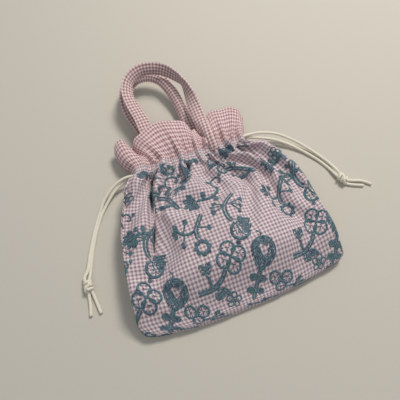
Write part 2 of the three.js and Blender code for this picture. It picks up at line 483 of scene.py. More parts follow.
@dataclass
class Studio:
    """The pale table, the soft lamps, and the camera that looks down on the pouch."""

    aim: Point = (-0.0071, -0.0223, 0.0)     # the point on the table in the middle of the view
    distance: float = 0.370
    elevation: float = math.radians(68.5)
    heading: float = math.radians(-19.7)
    lens: float = 35.28
    table_size: float = 1.6

    def build(self) -> None:
        """Set up everything that isn't the pouch."""
        self.add_camera()
        self.add_table()
        self.add_lamps()
        bpy.context.scene.view_settings.view_transform = "Standard"

    def add_camera(self) -> None:
        """Place the camera and make it the scene's own."""
        data = bpy.data.cameras.new("camera")
        data.lens = self.lens
        data.sensor_width = 36.0
        data.clip_start = 0.01
        camera = bpy.data.objects.new("camera", data)
        turn = Matrix.Rotation(self.heading, 3, "Z")
        back = Vector((0.0, -math.cos(self.elevation), math.sin(self.elevation)))
        camera.location = Vector(self.aim) + turn @ (back * self.distance)
        camera.rotation_euler = (math.pi / 2 - self.elevation, 0.0, self.heading)
        bpy.context.scene.collection.objects.link(camera)
        bpy.context.scene.camera = camera

    def add_table(self) -> None:
        """Lay the plain table under the pouch."""
        bm = bmesh.new()
        bmesh.ops.create_grid(bm, x_segments=2, y_segments=2, size=self.table_size / 2)
        mesh = bpy.data.meshes.new("table")
        bm.to_mesh(mesh)
        bm.free()
        table = bpy.data.objects.new("table", mesh)
        mesh.materials.append(TableCloth().material())
        bpy.context.scene.collection.objects.link(table)

    def add_lamps(self) -> None:
        """Hang the key lamp beyond the pouch to the right, a faint one opposite, and a soft sky."""
        self.lamp("key_lamp", toward=(0.741, 0.672), height=math.radians(55), distance=1.2, size=0.30,
                  power=10.5)
        self.lamp("fill_lamp", toward=(-0.6, -0.8), height=math.radians(65), distance=1.4, size=1.0,
                  power=1.6)
        sky = bpy.data.worlds.new("sky")
        sky.use_nodes = True
        sky.node_tree.nodes["Background"].inputs["Color"].default_value = (0.86, 0.92, 1.0, 1.0)
        sky.node_tree.nodes["Background"].inputs["Strength"].default_value = 0.36
        bpy.context.scene.world = sky

    def lamp(self, name: str, toward: tuple[float, float], height: float, distance: float,
             size: float, power: float) -> None:
        """Hang one soft square lamp facing the pouch.

        Args:
            name: its name.
            toward: its direction seen from above.
            height: its angle above the table.
            distance: how far it is from the pouch.
            size: its side.
            power: its output in watts.
        """
        data = bpy.data.lights.new(name, "AREA")
        data.energy = power
        data.size = size
        data.color = (1.0, 0.965, 0.91)
        hung = bpy.data.objects.new(name, data)
        level = Vector((*toward, 0.0)).normalized() * math.cos(height)
        way = Vector((level.x, level.y, math.sin(height)))
        hung.location = Vector(self.aim) + way * distance
        hung.rotation_euler = (-way).to_track_quat("-Z", "Y").to_euler()
        bpy.context.scene.collection.objects.link(hung)


# ---------------------------------------------------------------- cords


@dataclass
class DrawCord:
    """One cotton cord: it leaves the casing, both ends meet in a knot, and two short tails go on."""

    side: str
    route: list[Point]           # from the knot through the casing and back to the knot
    first_in_casing: int         # the first and last points of the route that are hidden
    last_in_casing: int
    knot_at: Point
    knot_turn: float             # the way the tails point, in degrees
    tails: list[list[Point]]
    diameter: float = 2.8 * MM
    sides: int = 12

    def build(self, finishes: Finishes) -> None:
        """Args:
            finishes: the pouch's finishes.
        """
        knot = place(f"{self.side}_knot_wraps", self.knot_mesh(), finishes.cord)
        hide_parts(f"{self.side}_knot")
        out = self.route[:self.first_in_casing + 1][::-1]
        back = self.route[self.last_in_casing:]
        for number, (strand, tail) in enumerate(zip((out, back), self.tails), 1):
            line = smooth_line(strand + tail)
            mesh = tube_mesh(f"{self.side}_strand_{number}", line, self.diameter / 2, self.sides)
            piece = place(f"{self.side}_strand_{number}", mesh, finishes.cord)
            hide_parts(f"{self.side}_cord")
        run = smooth_line(self.route[self.first_in_casing:self.last_in_casing + 1])
        hidden = place(f"{self.side}_casing_run", tube_mesh("run", run, self.diameter / 2, 8),
                       finishes.cord)
        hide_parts(f"{self.side}_cord")

    def knot_mesh(self) -> bpy.types.Mesh:
        """Tie the knot: a short coil round the pair of strands, with one more turn over the top.

        Returns:
            The knot in its place.
        """
        loop = 1.05 * self.diameter
        wide, high = loop * 0.98, loop * 0.84
        turns, length, start = 2.2, 7.2 * MM, 0.6
        a = np.linspace(0, 2 * math.pi * turns, 60)
        coil = np.stack([(a / a[-1] - 0.5) * length, wide * np.cos(a + start), high * np.sin(a + start)], 1)
        over = smooth_line([(-4.6 * MM, 0.4 * MM, -0.4 * MM), (-3.4 * MM, 2.6 * MM, 0.9 * MM),
                            (-0.6 * MM, 1.3 * MM, 2.9 * MM), (1.9 * MM, -1.6 * MM, 2.7 * MM),
                            (4.1 * MM, -2.6 * MM, 0.5 * MM), (4.9 * MM, -0.6 * MM, -1.0 * MM)])
        spin = Matrix.Rotation(math.radians(self.knot_turn), 3, "Z")
        meshes = []
        for line in (coil, over):
            placed = np.array([list(spin @ Vector(p)) for p in line]) + np.array(self.knot_at)
            meshes.append(tube_mesh("wrap", placed, self.diameter / 2, self.sides))
        return welded(f"{self.side}_knot_wraps", meshes)


def right_cord() -> DrawCord:
    """Give the right cord its route.

    Returns:
        The cord, ready to build.
    """
    return DrawCord(
        side="right",
        route=[(0.1272, -0.0422, 0.0046), (0.1246, -0.031, 0.0026), (0.1189, -0.019, 0.0022),
               (0.1086, -0.0044, 0.0038), (0.097, 0.0072, 0.0066), (0.0848, 0.0156, 0.0094),
               (0.071, 0.020, 0.0118), (0.060, 0.0214, 0.0126), (0.050, 0.021, 0.0136),
               (0.040, 0.0205, 0.0132), (0.024, 0.0205, 0.0134), (-0.005, 0.0205, 0.0136),
               (-0.030, 0.0205, 0.0134), (-0.045, 0.0205, 0.0126), (-0.0525, 0.0205, 0.0112),
               (-0.0525, 0.0205, 0.0096), (-0.044, 0.0205, 0.0082), (-0.028, 0.0205, 0.0078),
               (0.0, 0.0205, 0.0078), (0.026, 0.0205, 0.0078), (0.040, 0.0205, 0.008),
               (0.049, 0.0206, 0.0088), (0.059, 0.0198, 0.0096), (0.070, 0.0162, 0.0084),
               (0.0826, 0.0108, 0.0064), (0.0946, 0.0026, 0.004), (0.1052, -0.008, 0.0022),
               (0.1152, -0.0214, 0.0015), (0.121, -0.0326, 0.0015), (0.1239, -0.0424, 0.003)],
        first_in_casing=8,
        last_in_casing=21,
        knot_at=(0.1276, -0.0484, 0.00415),
        knot_turn=-62,
        tails=[[(0.128, -0.050, 0.0034), (0.132, -0.0516, 0.0026), (0.138, -0.0536, 0.0016),
                (0.145, -0.0564, 0.0015), (0.1525, -0.0626, 0.0015)],
               [(0.127, -0.051, 0.0026), (0.1304, -0.0544, 0.0016), (0.137, -0.058, 0.0015),
                (0.1446, -0.0612, 0.0015)]],
    )


def left_cord() -> DrawCord:
    """Give the left cord its route.

    Returns:
        The cord, ready to build.
    """
    return DrawCord(
        side="left",
        route=[(-0.1262, -0.0594, 0.0044), (-0.1222, -0.0524, 0.0026), (-0.1168, -0.0384, 0.0016),
               (-0.1094, -0.0224, 0.0016), (-0.0998, -0.0056, 0.0026), (-0.0904, 0.0064, 0.0056),
               (-0.0796, 0.014, 0.009), (-0.069, 0.0172, 0.0118), (-0.059, 0.017, 0.0128),
               (-0.049, 0.0166, 0.0136), (-0.036, 0.0165, 0.0136), (-0.018, 0.0165, 0.0136),
               (0.0, 0.0165, 0.0136), (0.020, 0.0165, 0.0134), (0.038, 0.0165, 0.0126),
               (0.0475, 0.0165, 0.0112), (0.0475, 0.0165, 0.0096), (0.038, 0.0165, 0.0082),
               (0.020, 0.0165, 0.0078), (-0.008, 0.0165, 0.0078), (-0.034, 0.0165, 0.008),
               (-0.049, 0.0165, 0.0088), (-0.059, 0.017, 0.0096), (-0.0686, 0.0156, 0.0084),
               (-0.0806, 0.0102, 0.0056), (-0.0916, 0.0006, 0.003), (-0.101, -0.011, 0.0016),
               (-0.1094, -0.0264, 0.0015), (-0.1164, -0.0432, 0.0015), (-0.1206, -0.0556, 0.0022),
               (-0.1224, -0.0606, 0.0034)],
        first_in_casing=8,
        last_in_casing=22,
        knot_at=(-0.1246, -0.0662, 0.00415),
        knot_turn=-95,
        tails=[[(-0.1256, -0.068, 0.0034), (-0.1264, -0.074, 0.0019), (-0.1274, -0.083, 0.0015),
                (-0.129, -0.091, 0.0015)],
               [(-0.1236, -0.068, 0.0034), (-0.1226, -0.074, 0.0019), (-0.1214, -0.083, 0.0015),
                (-0.1202, -0.0916, 0.0015)]],
    )


# ---------------------------------------------------------------- the sack of embroidered cloth


@dataclass
class Patch:
    """A stretch of cloth as it lies: a grid of places, with the flat cloth's two scales."""

    across: np.ndarray         # millimetres on the flat cloth, one a column
    up: np.ndarray             # millimetres on the flat cloth, one a row
    places: np.ndarray         # rows x columns x 3, in metres

    def flat(self) -> np.ndarray:
        """Give each point's place on the flat cloth, rows x columns x 2."""
        return np.stack(np.meshgrid(self.across, self.up), axis=-1)

    def cut(self, rows: slice, columns: slice) -> "Patch":
        """Cut out some rows and columns."""
        return Patch(self.across[columns], self.up[rows], self.places[rows, columns].copy())

    def mesh(self, name: str) -> bpy.types.Mesh:
        """Make the mesh of this stretch."""
        return grid_mesh(name, self.places, self.flat())

    def normals(self) -> np.ndarray:
        """Give the outward direction at each point.

        Returns:
            Rows x columns x 3, each of length one.
        """
        along = np.gradient(self.places, axis=1)
        upward = np.gradient(self.places, axis=0)
        out = np.cross(along, upward)
        return out / np.maximum(np.linalg.norm(out, axis=2, keepdims=True), 1e-12)

    def lay(self, flat: np.ndarray) -> np.ndarray:
        """Lay points of the flat cloth on its folds.

        Args:
            flat: n x 3, across, up and height over the cloth, in millimetres.
        Returns:
            Their places, n x 3, in metres.
        """
        column = np.interp(flat[:, 0], self.across, np.arange(len(self.across)))
        row = np.interp(flat[:, 1], self.up, np.arange(len(self.up)))
        c = np.minimum(column.astype(int), len(self.across) - 2)
        r = np.minimum(row.astype(int), len(self.up) - 2)
        fc, fr = (column - c)[:, None], (row - r)[:, None]

        def blend(grid: np.ndarray) -> np.ndarray:
            """Blend the four grid points round each place."""
            return ((grid[r, c] * (1 - fc) + grid[r, c + 1] * fc) * (1 - fr)
                    + (grid[r + 1, c] * (1 - fc) + grid[r + 1, c + 1] * fc) * fr)
        return blend(self.places) + blend(self.normals()) * flat[:, 2:] * MM


@dataclass(frozen=True)
class Crease:
    """A valley or ridge that lies in the front cloth, followed along its line."""

    line: tuple[tuple[float, float], ...]     # x and y, in millimetres
    depth: tuple[float, float]                # at its start and its end; below nought it is a ridge
    width: float
    tuck: float = 0.0                         # how far the cloth on its right leans over it

    def sink(self, places: np.ndarray) -> np.ndarray:
        """Tell how far each place sinks.

        Args:
            places: rows x columns x 3, in metres.
        Returns:
            Rows x columns, in metres.
        """
        line = smooth_line(self.line, 12) * MM
        away = np.linalg.norm(places[:, :, None, :2] - line[None, None], axis=3)
        nearest = away.argmin(axis=2)
        share = nearest / (len(line) - 1)
        depth = np.interp(share, [0, 1], self.depth)
        ends = np.interp(share, [0, 0.12, 0.8, 1], [0.6, 1, 1, 0.0])
        return depth * ends * np.exp(-(away.min(axis=2) / (self.width * MM)) ** 2) * MM

    def lean(self, places: np.ndarray) -> np.ndarray:
        """Tell how far each place on the right of the valley leans over it.

        Args:
            places: rows x columns x 3, in metres.
        Returns:
            Rows x columns, in metres.
        """
        line = smooth_line(self.line, 12)[::-1] * MM
        beside = places[..., 0] - np.interp(places[..., 1], line[:, 1], line[:, 0])
        within = np.clip((places[..., 1] - line[0, 1]) / (22 * MM), 0, 1)
        off = (beside - 1.6 * self.width * MM) / (1.5 * self.width * MM)
        return self.tuck * MM * within * np.exp(-off ** 2)


def chosen_creases() -> tuple[Crease, ...]:
    """Give the folds that the front shows, besides those of the gathering.

    Returns:
        The creases, the deepest first.
    """
    return (
        Crease(((-37, 22), (-41, 9), (-46, -3), (-51, -24), (-55.5, -42), (-61.5, -58), (-69, -77)), (26, 12),
               4.2, 6.0),
        Crease(((-29, 20), (-34, 4), (-40, -16), (-45, -36), (-51, -54)), (-8, -3.5), 6.5),
        Crease(((-56, 16), (-62, -2), (-68, -20), (-74, -40), (-79, -58)), (-3, -1.5), 5.0),
        Crease(((-3, 22), (-7, 10), (-10, 2), (-14, -7), (-18, -17)), (14, 4), 2.8, 2.6),
        Crease(((15, 22), (17, 14), (19, 7), (24, 1), (30, -3)), (9, 5), 4.6),
        Crease(((22, -14), (31, -21), (39.5, -28), (46, -37)), (9, 3), 5.5),
        Crease(((33, 20), (36, 14), (41, 9), (48, -1), (56, -13), (63, -25), (71, -40)), (-5, -2), 5.0),
        Crease(((38, 21), (41, 14), (46, 7), (54, -3), (60, -10)), (11, 2), 2.6, 1.5),
        Crease(((-20, 21), (-22, 12), (-25, 2)), (6, 1), 2.4),
        Crease(((-68, 8), (-76, -18), (-83, -42), (-88, -66)), (9, 6), 10.0),
    )


@dataclass
class Sack:
    """The boxed sack, cut flat, sewn up, and gathered along its casing by a cloth simulation."""

    width: float = 188.0                  # millimetres on the cloth, as are the next three
    depth: float = 26.0
    height: float = 147.0
    casing: float = 9.0
    columns: int = 64                     # quads across the front, and across the back
    side_columns: int = 8                 # quads across each side and the bottom
    rows: int = 49
    casing_rows: int = 3
    bottom_y: float = -123.0              # where the sewn box starts
    casing_y: float = 14.0                # where the casing starts once gathered
    neck: tuple[float, float] = (-61.0, 55.0)      # x of the casing's two seams once gathered
    neck_z: float = 10.5                  # height of those seams over the table
    neck_rise: float = 3.6                # how far the casing's front and back stand off from that height
    deepest: float = 7.0                  # the deepest that a pleat gets
    # each pleat's length of cloth and the width it takes, from seam to seam, in proportion to the whole
    front_pleats: tuple[tuple[float, float], ...] = (
        (46, 21), (17, 8), (20, 12), (12, 6), (24, 11), (13, 7), (18, 9), (27, 12), (15, 8), (20, 9), (14, 6),
        (22, 11))
    back_pleats: tuple[tuple[float, float], ...] = (
        (26, 14), (24, 13), (28, 15), (30, 16), (24, 13), (28, 15), (26, 14), (30, 16))
    gather_frames: int = 30
    settle_frames: int = 25
    scale: float = 10.0                   # the simulation runs at this many times the real size
    ply: float = 0.6 * MM
    over_cords: float = 16.0              # height of the lowest crease where the cords run, in millimetres
    lowest: float = 3.6                   # height of the lowest crease elsewhere
    lapped: float = 6.0                   # how much of the casing the embroidered cloth covers
    slit: float = 3.2                     # how far the side seams gape for the cords
    base_height: float = 0.34             # the base's height once it lies flat, against the simulated one
    base_drop: tuple[float, float] = (-80.0, 45.0)          # where the base starts to move down, over how far
    base_flattening: tuple[float, float] = (-86.0, 40.0)    # where it starts to lie flat, over how far
    base_gap: float = 4.5                 # from the base to the outline's first point
    right_edge: tuple[tuple[float, float], ...] = (      # the outline once filled: y and x, in millimetres
        (-126, 80), (-122, 89), (-115, 92.5), (-100, 90.5), (-78, 88), (-62, 87.5), (-45, 88), (-29, 86.5),
        (-17, 82.5), (-4, 76.5), (8, 65), (14, 56))
    left_edge: tuple[tuple[float, float], ...] = (
        (-127, -82), (-122, -90), (-115, -93.5), (-91, -91), (-66, -88), (-40, -84), (-24, -79),
        (0, -69), (14, -61))
    creases: tuple[Crease, ...] = field(default_factory=chosen_creases)
    walls: Patch = field(init=False)
    bottom: Patch = field(init=False)

    @property
    def half_round(self) -> float:
        """Half the way round the sack, in millimetres: one panel from side seam to side seam."""
        return self.width + self.depth

    def simulate(self) -> None:
        """Gather the sack and keep its walls and bottom as patches of cloth."""
        mesh = self.sewn_box()
        coarse = self.gathered(mesh)
        shown = bpy.data.objects.new("refined", coarse)
        bpy.context.scene.collection.objects.link(shown)
        finer = shown.modifiers.new("finer", "SUBSURF")
        finer.levels = finer.render_levels = 1
        finer.uv_smooth = "NONE"
        fine = bpy.data.meshes.new_from_object(shown.evaluated_get(bpy.context.evaluated_depsgraph_get()))
        bpy.data.objects.remove(shown)
        self.walls = self.read_patch(fine, self.round_marks(), self.wall_marks(), walls=True)
        self.bottom = self.read_patch(fine, self.bottom_marks(), self.depth_marks(), walls=False)
        self.shape_outline()
        self.press_creases()
        self.open_slits()

    def shape_outline(self) -> None:
        """Flatten the base, then move the sides out to the outline of the filled sack seen from above."""
        body = self.walls.places[:self.neck_row + 1]
        right, left = body[..., 0].max(axis=1), body[..., 0].min(axis=1)
        wanted_right, wanted_left = (np.array(edge).T * MM for edge in (self.right_edge, self.left_edge))
        lowest = min(body[..., 1].min(), self.bottom.places[..., 1].min())
        drop = wanted_right[0, 0] - self.base_gap * MM - lowest
        for places in (body, self.bottom.places):
            y = places[..., 1]
            y += drop * self.share_below(y, self.base_drop)
            low = self.share_below(y, self.base_flattening)
            places[..., 2] *= 1 - (1 - self.base_height) * low**2 * (3 - 2 * low)
        rows = body[..., 1].mean(axis=1)
        for places in (body, self.bottom.places):
            x, y = places[..., 0], places[..., 1]
            for edge, wanted in ((right, wanted_right), (left, wanted_left)):
                now = np.interp(y, rows, edge)
                share = np.clip(x / now, 0, 1.05)
                x += (np.interp(y, *wanted) - now) * share**2

    @staticmethod
    def share_below(y: np.ndarray, start: tuple[float, float]) -> np.ndarray:
        """Tell how far each place is below a start, from 0 there to 1 past the stretch's end."""
        return np.clip((start[0] * MM - y) / (start[1] * MM), 0, 1)

    def press_creases(self) -> None:
        """Press the creases into the front cloth, no lower than the cords and the back lie."""
        columns = slice(self.side_columns, self.side_columns + 2 * self.columns + 1)
        front = self.walls.places[:self.collar_row + 1, columns]
        facing = np.clip(Patch(self.walls.across, self.walls.up, front).normals()[..., 2], 0, 1)
        fade = np.clip(1.2 - (front[..., 1] / MM - self.casing_y) / self.casing, 0.35, 1)
        sunk = sum(crease.sink(front) for crease in self.creases) * facing * fade
        floor = np.where(front[..., 1] > (self.casing_y - 3) * MM, self.over_cords, self.lowest) * MM
        front[..., 2] = np.maximum(front[..., 2] - sunk, np.minimum(front[..., 2], floor))
        front[..., 0] -= sum(crease.lean(front) for crease in self.creases) * fade * facing

    def round_marks(self) -> np.ndarray:
        """Give the columns' places round the sack, from the left side seam over the front.

        Returns:
            Millimetres on the cloth, one for each column.
        """
        half, side, wide = self.depth / 2, self.side_columns, self.columns
        corners = np.cumsum([0, half, self.width, self.depth, self.width, half])
        counts = [side // 2, wide, side, wide, side // 2]
        parts = [np.linspace(a, b, n, endpoint=False) for a, b, n in zip(corners, corners[1:], counts)]
        return np.append(np.concatenate(parts), corners[-1])

    def wall_marks(self) -> np.ndarray:
        """Give the rows' places up the walls and the casing.

        Returns:
            Millimetres on the cloth, one for each row.
        """
        walls = np.linspace(0, self.height, self.rows + 1)
        casing = np.linspace(self.height, self.height + self.casing, self.casing_rows + 1)
        return np.concatenate([walls, casing[1:]])

    def bottom_marks(self) -> np.ndarray:
        """Give the columns' places along the bottom."""
        return np.linspace(self.depth / 2, self.depth / 2 + self.width, self.columns + 1)

    def depth_marks(self) -> np.ndarray:
        """Give the rows' places under the bottom, from its back edge to its front edge."""
        return np.linspace(-self.depth, 0, self.side_columns + 1)

    def box_section(self, around: np.ndarray) -> tuple[np.ndarray, np.ndarray]:
        """Give x and z of the sewn box.

        Args:
            around: places round it, in millimetres.
        Returns:
            The x and the z of each place, in millimetres.
        """
        half, wide, deep = self.depth / 2, self.width, self.depth
        corners = np.cumsum([0, half, wide, deep, wide, half])
        x = np.interp(around, corners, np.array([-1, -1, 1, 1, -1, -1]) * wide / 2)
        z = np.interp(around, corners, [half, deep, deep, 0, 0, half])
        return x, z

    def sewn_box(self) -> bpy.types.Mesh:
        """Sew the walls and the bottom into a box, at the simulation's scale.

        Returns:
            The box, open at the top.
        """
        around, up = self.round_marks(), self.wall_marks()
        x, z = self.box_section(around)
        unit = MM * self.scale
        walls = np.empty((len(up), len(around), 3))
        walls[..., 0], walls[..., 1], walls[..., 2] = x, (self.bottom_y + up)[:, None], z
        along, depth = self.bottom_marks(), self.depth_marks()
        bottom = np.empty((len(depth), len(along), 3))
        bottom[..., 0] = along - self.depth / 2 - self.width / 2
        bottom[..., 1] = self.bottom_y
        bottom[..., 2] = (self.depth + depth)[:, None]
        pieces = [grid_mesh("walls", walls * unit, np.stack(np.meshgrid(around, up), -1)),
                  grid_mesh("bottom", bottom * unit, np.stack(np.meshgrid(along, depth), -1))]
        return welded("sewn_box", pieces)

    def pleat(self, cloth: float, span: float) -> tuple[np.ndarray, np.ndarray, np.ndarray]:
        """Fold a length of cloth into one rounded pleat.

        Args:
            cloth: the length folded.
            span: the width it takes up.
        Returns:
            Fractions of the cloth, and the x and height of the pleat there.
        """
        t = np.linspace(0, 1, 81)
        low, high = 0.0, 4 * span
        for _ in range(40):
            middle = (low + high) / 2
            height = middle * (1 - np.cos(2 * np.pi * t)) / 2
            arc = travelled(np.stack([t * span, height], 1))
            low, high = (middle, high) if arc[-1] < cloth else (low, middle)
        return arc / arc[-1], t * span, height

    def neck_section(self, around: np.ndarray) -> tuple[np.ndarray, np.ndarray]:
        """Give x and z of the gathered casing.

        Args:
            around: places round it on the cloth, in millimetres.
        Returns:
            The x and the z of each place, in millimetres.
        """
        x, z = np.empty_like(around), np.empty_like(around)
        left, right = self.neck
        for number, pleats in enumerate((self.front_pleats, self.back_pleats)):
            sign = 1 - 2 * number
            cloth, spans = np.array(pleats, float).T
            cloth *= self.half_round / cloth.sum()
            spans *= (right - left) / spans.sum()
            start, reached = number * self.half_round, 0.0
            for length, span in zip(cloth, spans):
                inside = (around >= start - 1e-6) & (around <= start + length + 1e-6)
                fraction, run, height = self.pleat(length, span)
                here = (around[inside] - start) / length
                from_seam = reached + np.interp(here, fraction, run)
                edge = np.minimum(from_seam, right - left - from_seam)
                rise = np.sqrt(np.maximum(0, 1 - (1 - np.minimum(1, edge / 14)) ** 2))
                fold = np.minimum(np.interp(here, fraction, height), self.deepest)
                x[inside] = left + from_seam if sign > 0 else right - from_seam
                z[inside] = self.neck_z + sign * (self.neck_rise * rise + fold)
                start, reached = start + length, reached + span
        return x, np.maximum(z, 0.7)

    def gathered(self, mesh: bpy.types.Mesh) -> bpy.types.Mesh:
        """Draw the casing in while the rest of the cloth follows.

        Args:
            mesh: the sewn box, which is used up.
        Returns:
            The gathered sack at its real size.
        """
        scene = bpy.context.scene
        sack = bpy.data.objects.new("sack_simulated", mesh)
        scene.collection.objects.link(sack)
        corner = np.empty(len(mesh.loops), int)
        mesh.loops.foreach_get("vertex_index", corner)
        flat = np.empty(len(mesh.loops) * 2)
        mesh.uv_layers[CLOTH_MAP].data.foreach_get("uv", flat)
        place_on_cloth = np.zeros((len(mesh.vertices), 2))
        place_on_cloth[corner] = flat.reshape(-1, 2)
        around, up = place_on_cloth.T
        pinned = up >= self.height - 0.01
        unit = MM * self.scale
        target = np.empty(len(mesh.vertices) * 3)
        mesh.vertices.foreach_get("co", target)
        target = target.reshape(-1, 3)
        x, z = self.neck_section(around[pinned])
        target[pinned] = np.stack([x, self.casing_y + up[pinned] - self.height, z], 1) * unit
        sack.vertex_groups.new(name="pinned").add(np.flatnonzero(pinned).tolist(), 1.0, "REPLACE")
        sack.shape_key_add(name="flat")
        drawn = sack.shape_key_add(name="drawn_in")
        drawn.data.foreach_set("co", target.ravel())
        drawn.value = 0.0
        drawn.keyframe_insert("value", frame=1)
        drawn.value = 1.0
        drawn.keyframe_insert("value", frame=self.gather_frames)
        table = self.sim_table()
        self.add_cloth(sack)
        last = self.gather_frames + self.settle_frames
        for number in range(1, last + 1):
            scene.frame_set(number)
        settled = bpy.data.meshes.new_from_object(sack.evaluated_get(bpy.context.evaluated_depsgraph_get()))
        settled.transform(Matrix.Scale(1 / self.scale, 4))
        self.soften_base(settled, up)
        for used in (sack, table):
            bpy.data.objects.remove(used)
        scene.frame_set(1)
        return settled

    def soften_base(self, mesh: bpy.types.Mesh, up: np.ndarray) -> None:
        """Round the edges of the boxed base, as filled cloth does.

        Args:
            mesh: the gathered sack, which is changed.
            up: each point's place up the cloth, in millimetres.
        """
        bm = bmesh.new()
        bm.from_mesh(mesh)
        bm.verts.ensure_lookup_table()
        for reach, passes in ((16, 5), (9, 5)):
            near = [bm.verts[i] for i in np.flatnonzero(up < reach)]
            for _ in range(passes):
                bmesh.ops.smooth_vert(bm, verts=near, factor=0.5, use_axis_x=True, use_axis_y=True,
                                      use_axis_z=True)
        bm.to_mesh(mesh)
        bm.free()

    def sim_table(self) -> bpy.types.Object:
        """Add the table that the cloth settles on, lower by the thickness it is given.

        Returns:
            The table.
        """
        thickness = 0.01
        bm = bmesh.new()
        bmesh.ops.create_grid(bm, x_segments=1, y_segments=1, size=6.0,
                              matrix=Matrix.Translation((0, 0, -thickness)))
        mesh = bpy.data.meshes.new("sim_table")
        bm.to_mesh(mesh)
        bm.free()
        table = bpy.data.objects.new("sim_table", mesh)
        bpy.context.scene.collection.objects.link(table)
        table.modifiers.new("solid", "COLLISION")
        table.collision.thickness_outer = thickness
        table.collision.cloth_friction = 15
        return table

    def add_cloth(self, sack: bpy.types.Object) -> None:
        """Give the sack the weight, stretch and fold of a light cotton, with a little air inside.

        Args:
            sack: the sewn box.
        """
        cloth = sack.modifiers.new("cotton", "CLOTH")
        cotton = cloth.settings
        cotton.quality = 6
        cotton.mass = 0.02
        cotton.tension_stiffness = cotton.compression_stiffness = 30
        cotton.shear_stiffness = 9
        cotton.bending_stiffness = 4
        cotton.tension_damping = cotton.compression_damping = cotton.shear_damping = 5
        cotton.bending_damping = 0.5
        cotton.air_damping = 3
        cotton.vertex_group_mass = "pinned"
        cotton.pin_stiffness = 1
        cotton.use_pressure = True
        cotton.uniform_pressure_force = 0.1
        touch = cloth.collision_settings
        touch.distance_min = 0.008
        touch.use_self_collision = True
        touch.self_distance_min = 0.010
        touch.collision_quality = 3
        touch.self_friction = 5
        cloth.point_cache.frame_start = 1
        cloth.point_cache.frame_end = 400     # past the last frame that is stepped

    def read_patch(self, mesh: bpy.types.Mesh, across: np.ndarray, up: np.ndarray, walls: bool) -> Patch:
        """Read one stretch of the refined sack back as a patch.

        Args:
            mesh: the refined sack.
            across: the coarse columns' places.
            up: the coarse rows' places.
            walls: the walls, or else the bottom.
        Returns:
            The patch, with twice the columns and rows.
        """
        across, up = (np.interp(np.arange(2 * len(m) - 1) / 2, np.arange(len(m)), m) for m in (across, up))
        corner = np.empty(len(mesh.loops), int)
        mesh.loops.foreach_get("vertex_index", corner)
        flat = np.empty(len(mesh.loops) * 2)
        mesh.uv_layers[CLOTH_MAP].data.foreach_get("uv", flat)
        flat = flat.reshape(-1, 4, 2)
        wanted = (flat[..., 1].mean(1) > 0) == walls
        flat, corner = flat[wanted].reshape(-1, 2), corner.reshape(-1, 4)[wanted].ravel()
        co = np.empty(len(mesh.vertices) * 3)
        mesh.vertices.foreach_get("co", co)
        column = np.rint(np.interp(flat[:, 0], across, np.arange(len(across)))).astype(int)
        row = np.rint(np.interp(flat[:, 1], up, np.arange(len(up)))).astype(int)
        places = np.zeros((len(up), len(across), 3))
        places[row, column] = co.reshape(-1, 3)[corner]
        return Patch(across, up, places)

    @property
    def seam_column(self) -> int:
        """The refined column of the right side seam."""
        return self.columns * 2 + self.side_columns * 2

    @property
    def neck_row(self) -> int:
        """The refined row where the casing starts."""
        return self.rows * 2

    @property
    def collar_row(self) -> int:
        """The refined row where the ruffle's cloth takes over from the embroidered cloth."""
        return self.neck_row + round(2 * self.casing_rows * self.lapped / self.casing)

    def open_slits(self) -> None:
        """Part the casing's front and back beside the side seams, where the cords come out."""
        seam = self.seam_column
        for columns, sign in ((slice(0, seam + 1), 1), (slice(seam, None), -1)):
            casing = self.walls.cut(slice(self.neck_row, None), columns)
            part = np.sin(math.pi * (casing.up - casing.up[0]) / self.casing)[:, None]
            from_end = np.minimum(casing.across - casing.across[0], casing.across[-1] - casing.across)
            near = np.exp(-(from_end / 3.0) ** 2)[None, :]
            casing.places[..., 2] += sign * self.slit * MM * part * near

    def panel(self, front: bool) -> tuple[Patch, Patch]:
        """Cut one side's wall and its half of the bottom from the sack.

        Args:
            front: the front, or else the back.
        Returns:
            The wall and the half of the bottom.
        """
        seam, middle = self.seam_column, self.side_columns
        rows = slice(0, self.collar_row + 1)
        if front:
            return self.walls.cut(rows, slice(0, seam + 1)), self.bottom.cut(slice(middle, None), slice(None))
        return self.walls.cut(rows, slice(seam, None)), self.bottom.cut(slice(0, middle + 1), slice(None))

    def build(self, finishes: Finishes) -> None:
        """Make the two panels from the gathered cloth.

        Args:
            finishes: the pouch's finishes.
        """
        self.simulate()
        for name, front in (("front", True), ("back", False)):
            wall, bottom = self.panel(front)
            mesh = welded(f"{name}_cloth", [wall.mesh("wall"), bottom.mesh("bottom")])
            piece = place(f"{name}_cloth", mesh, finishes.bag)
            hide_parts(f"{name}_panel")
            thicken(piece, self.ply)


# ---------------------------------------------------------------- the gingham collar


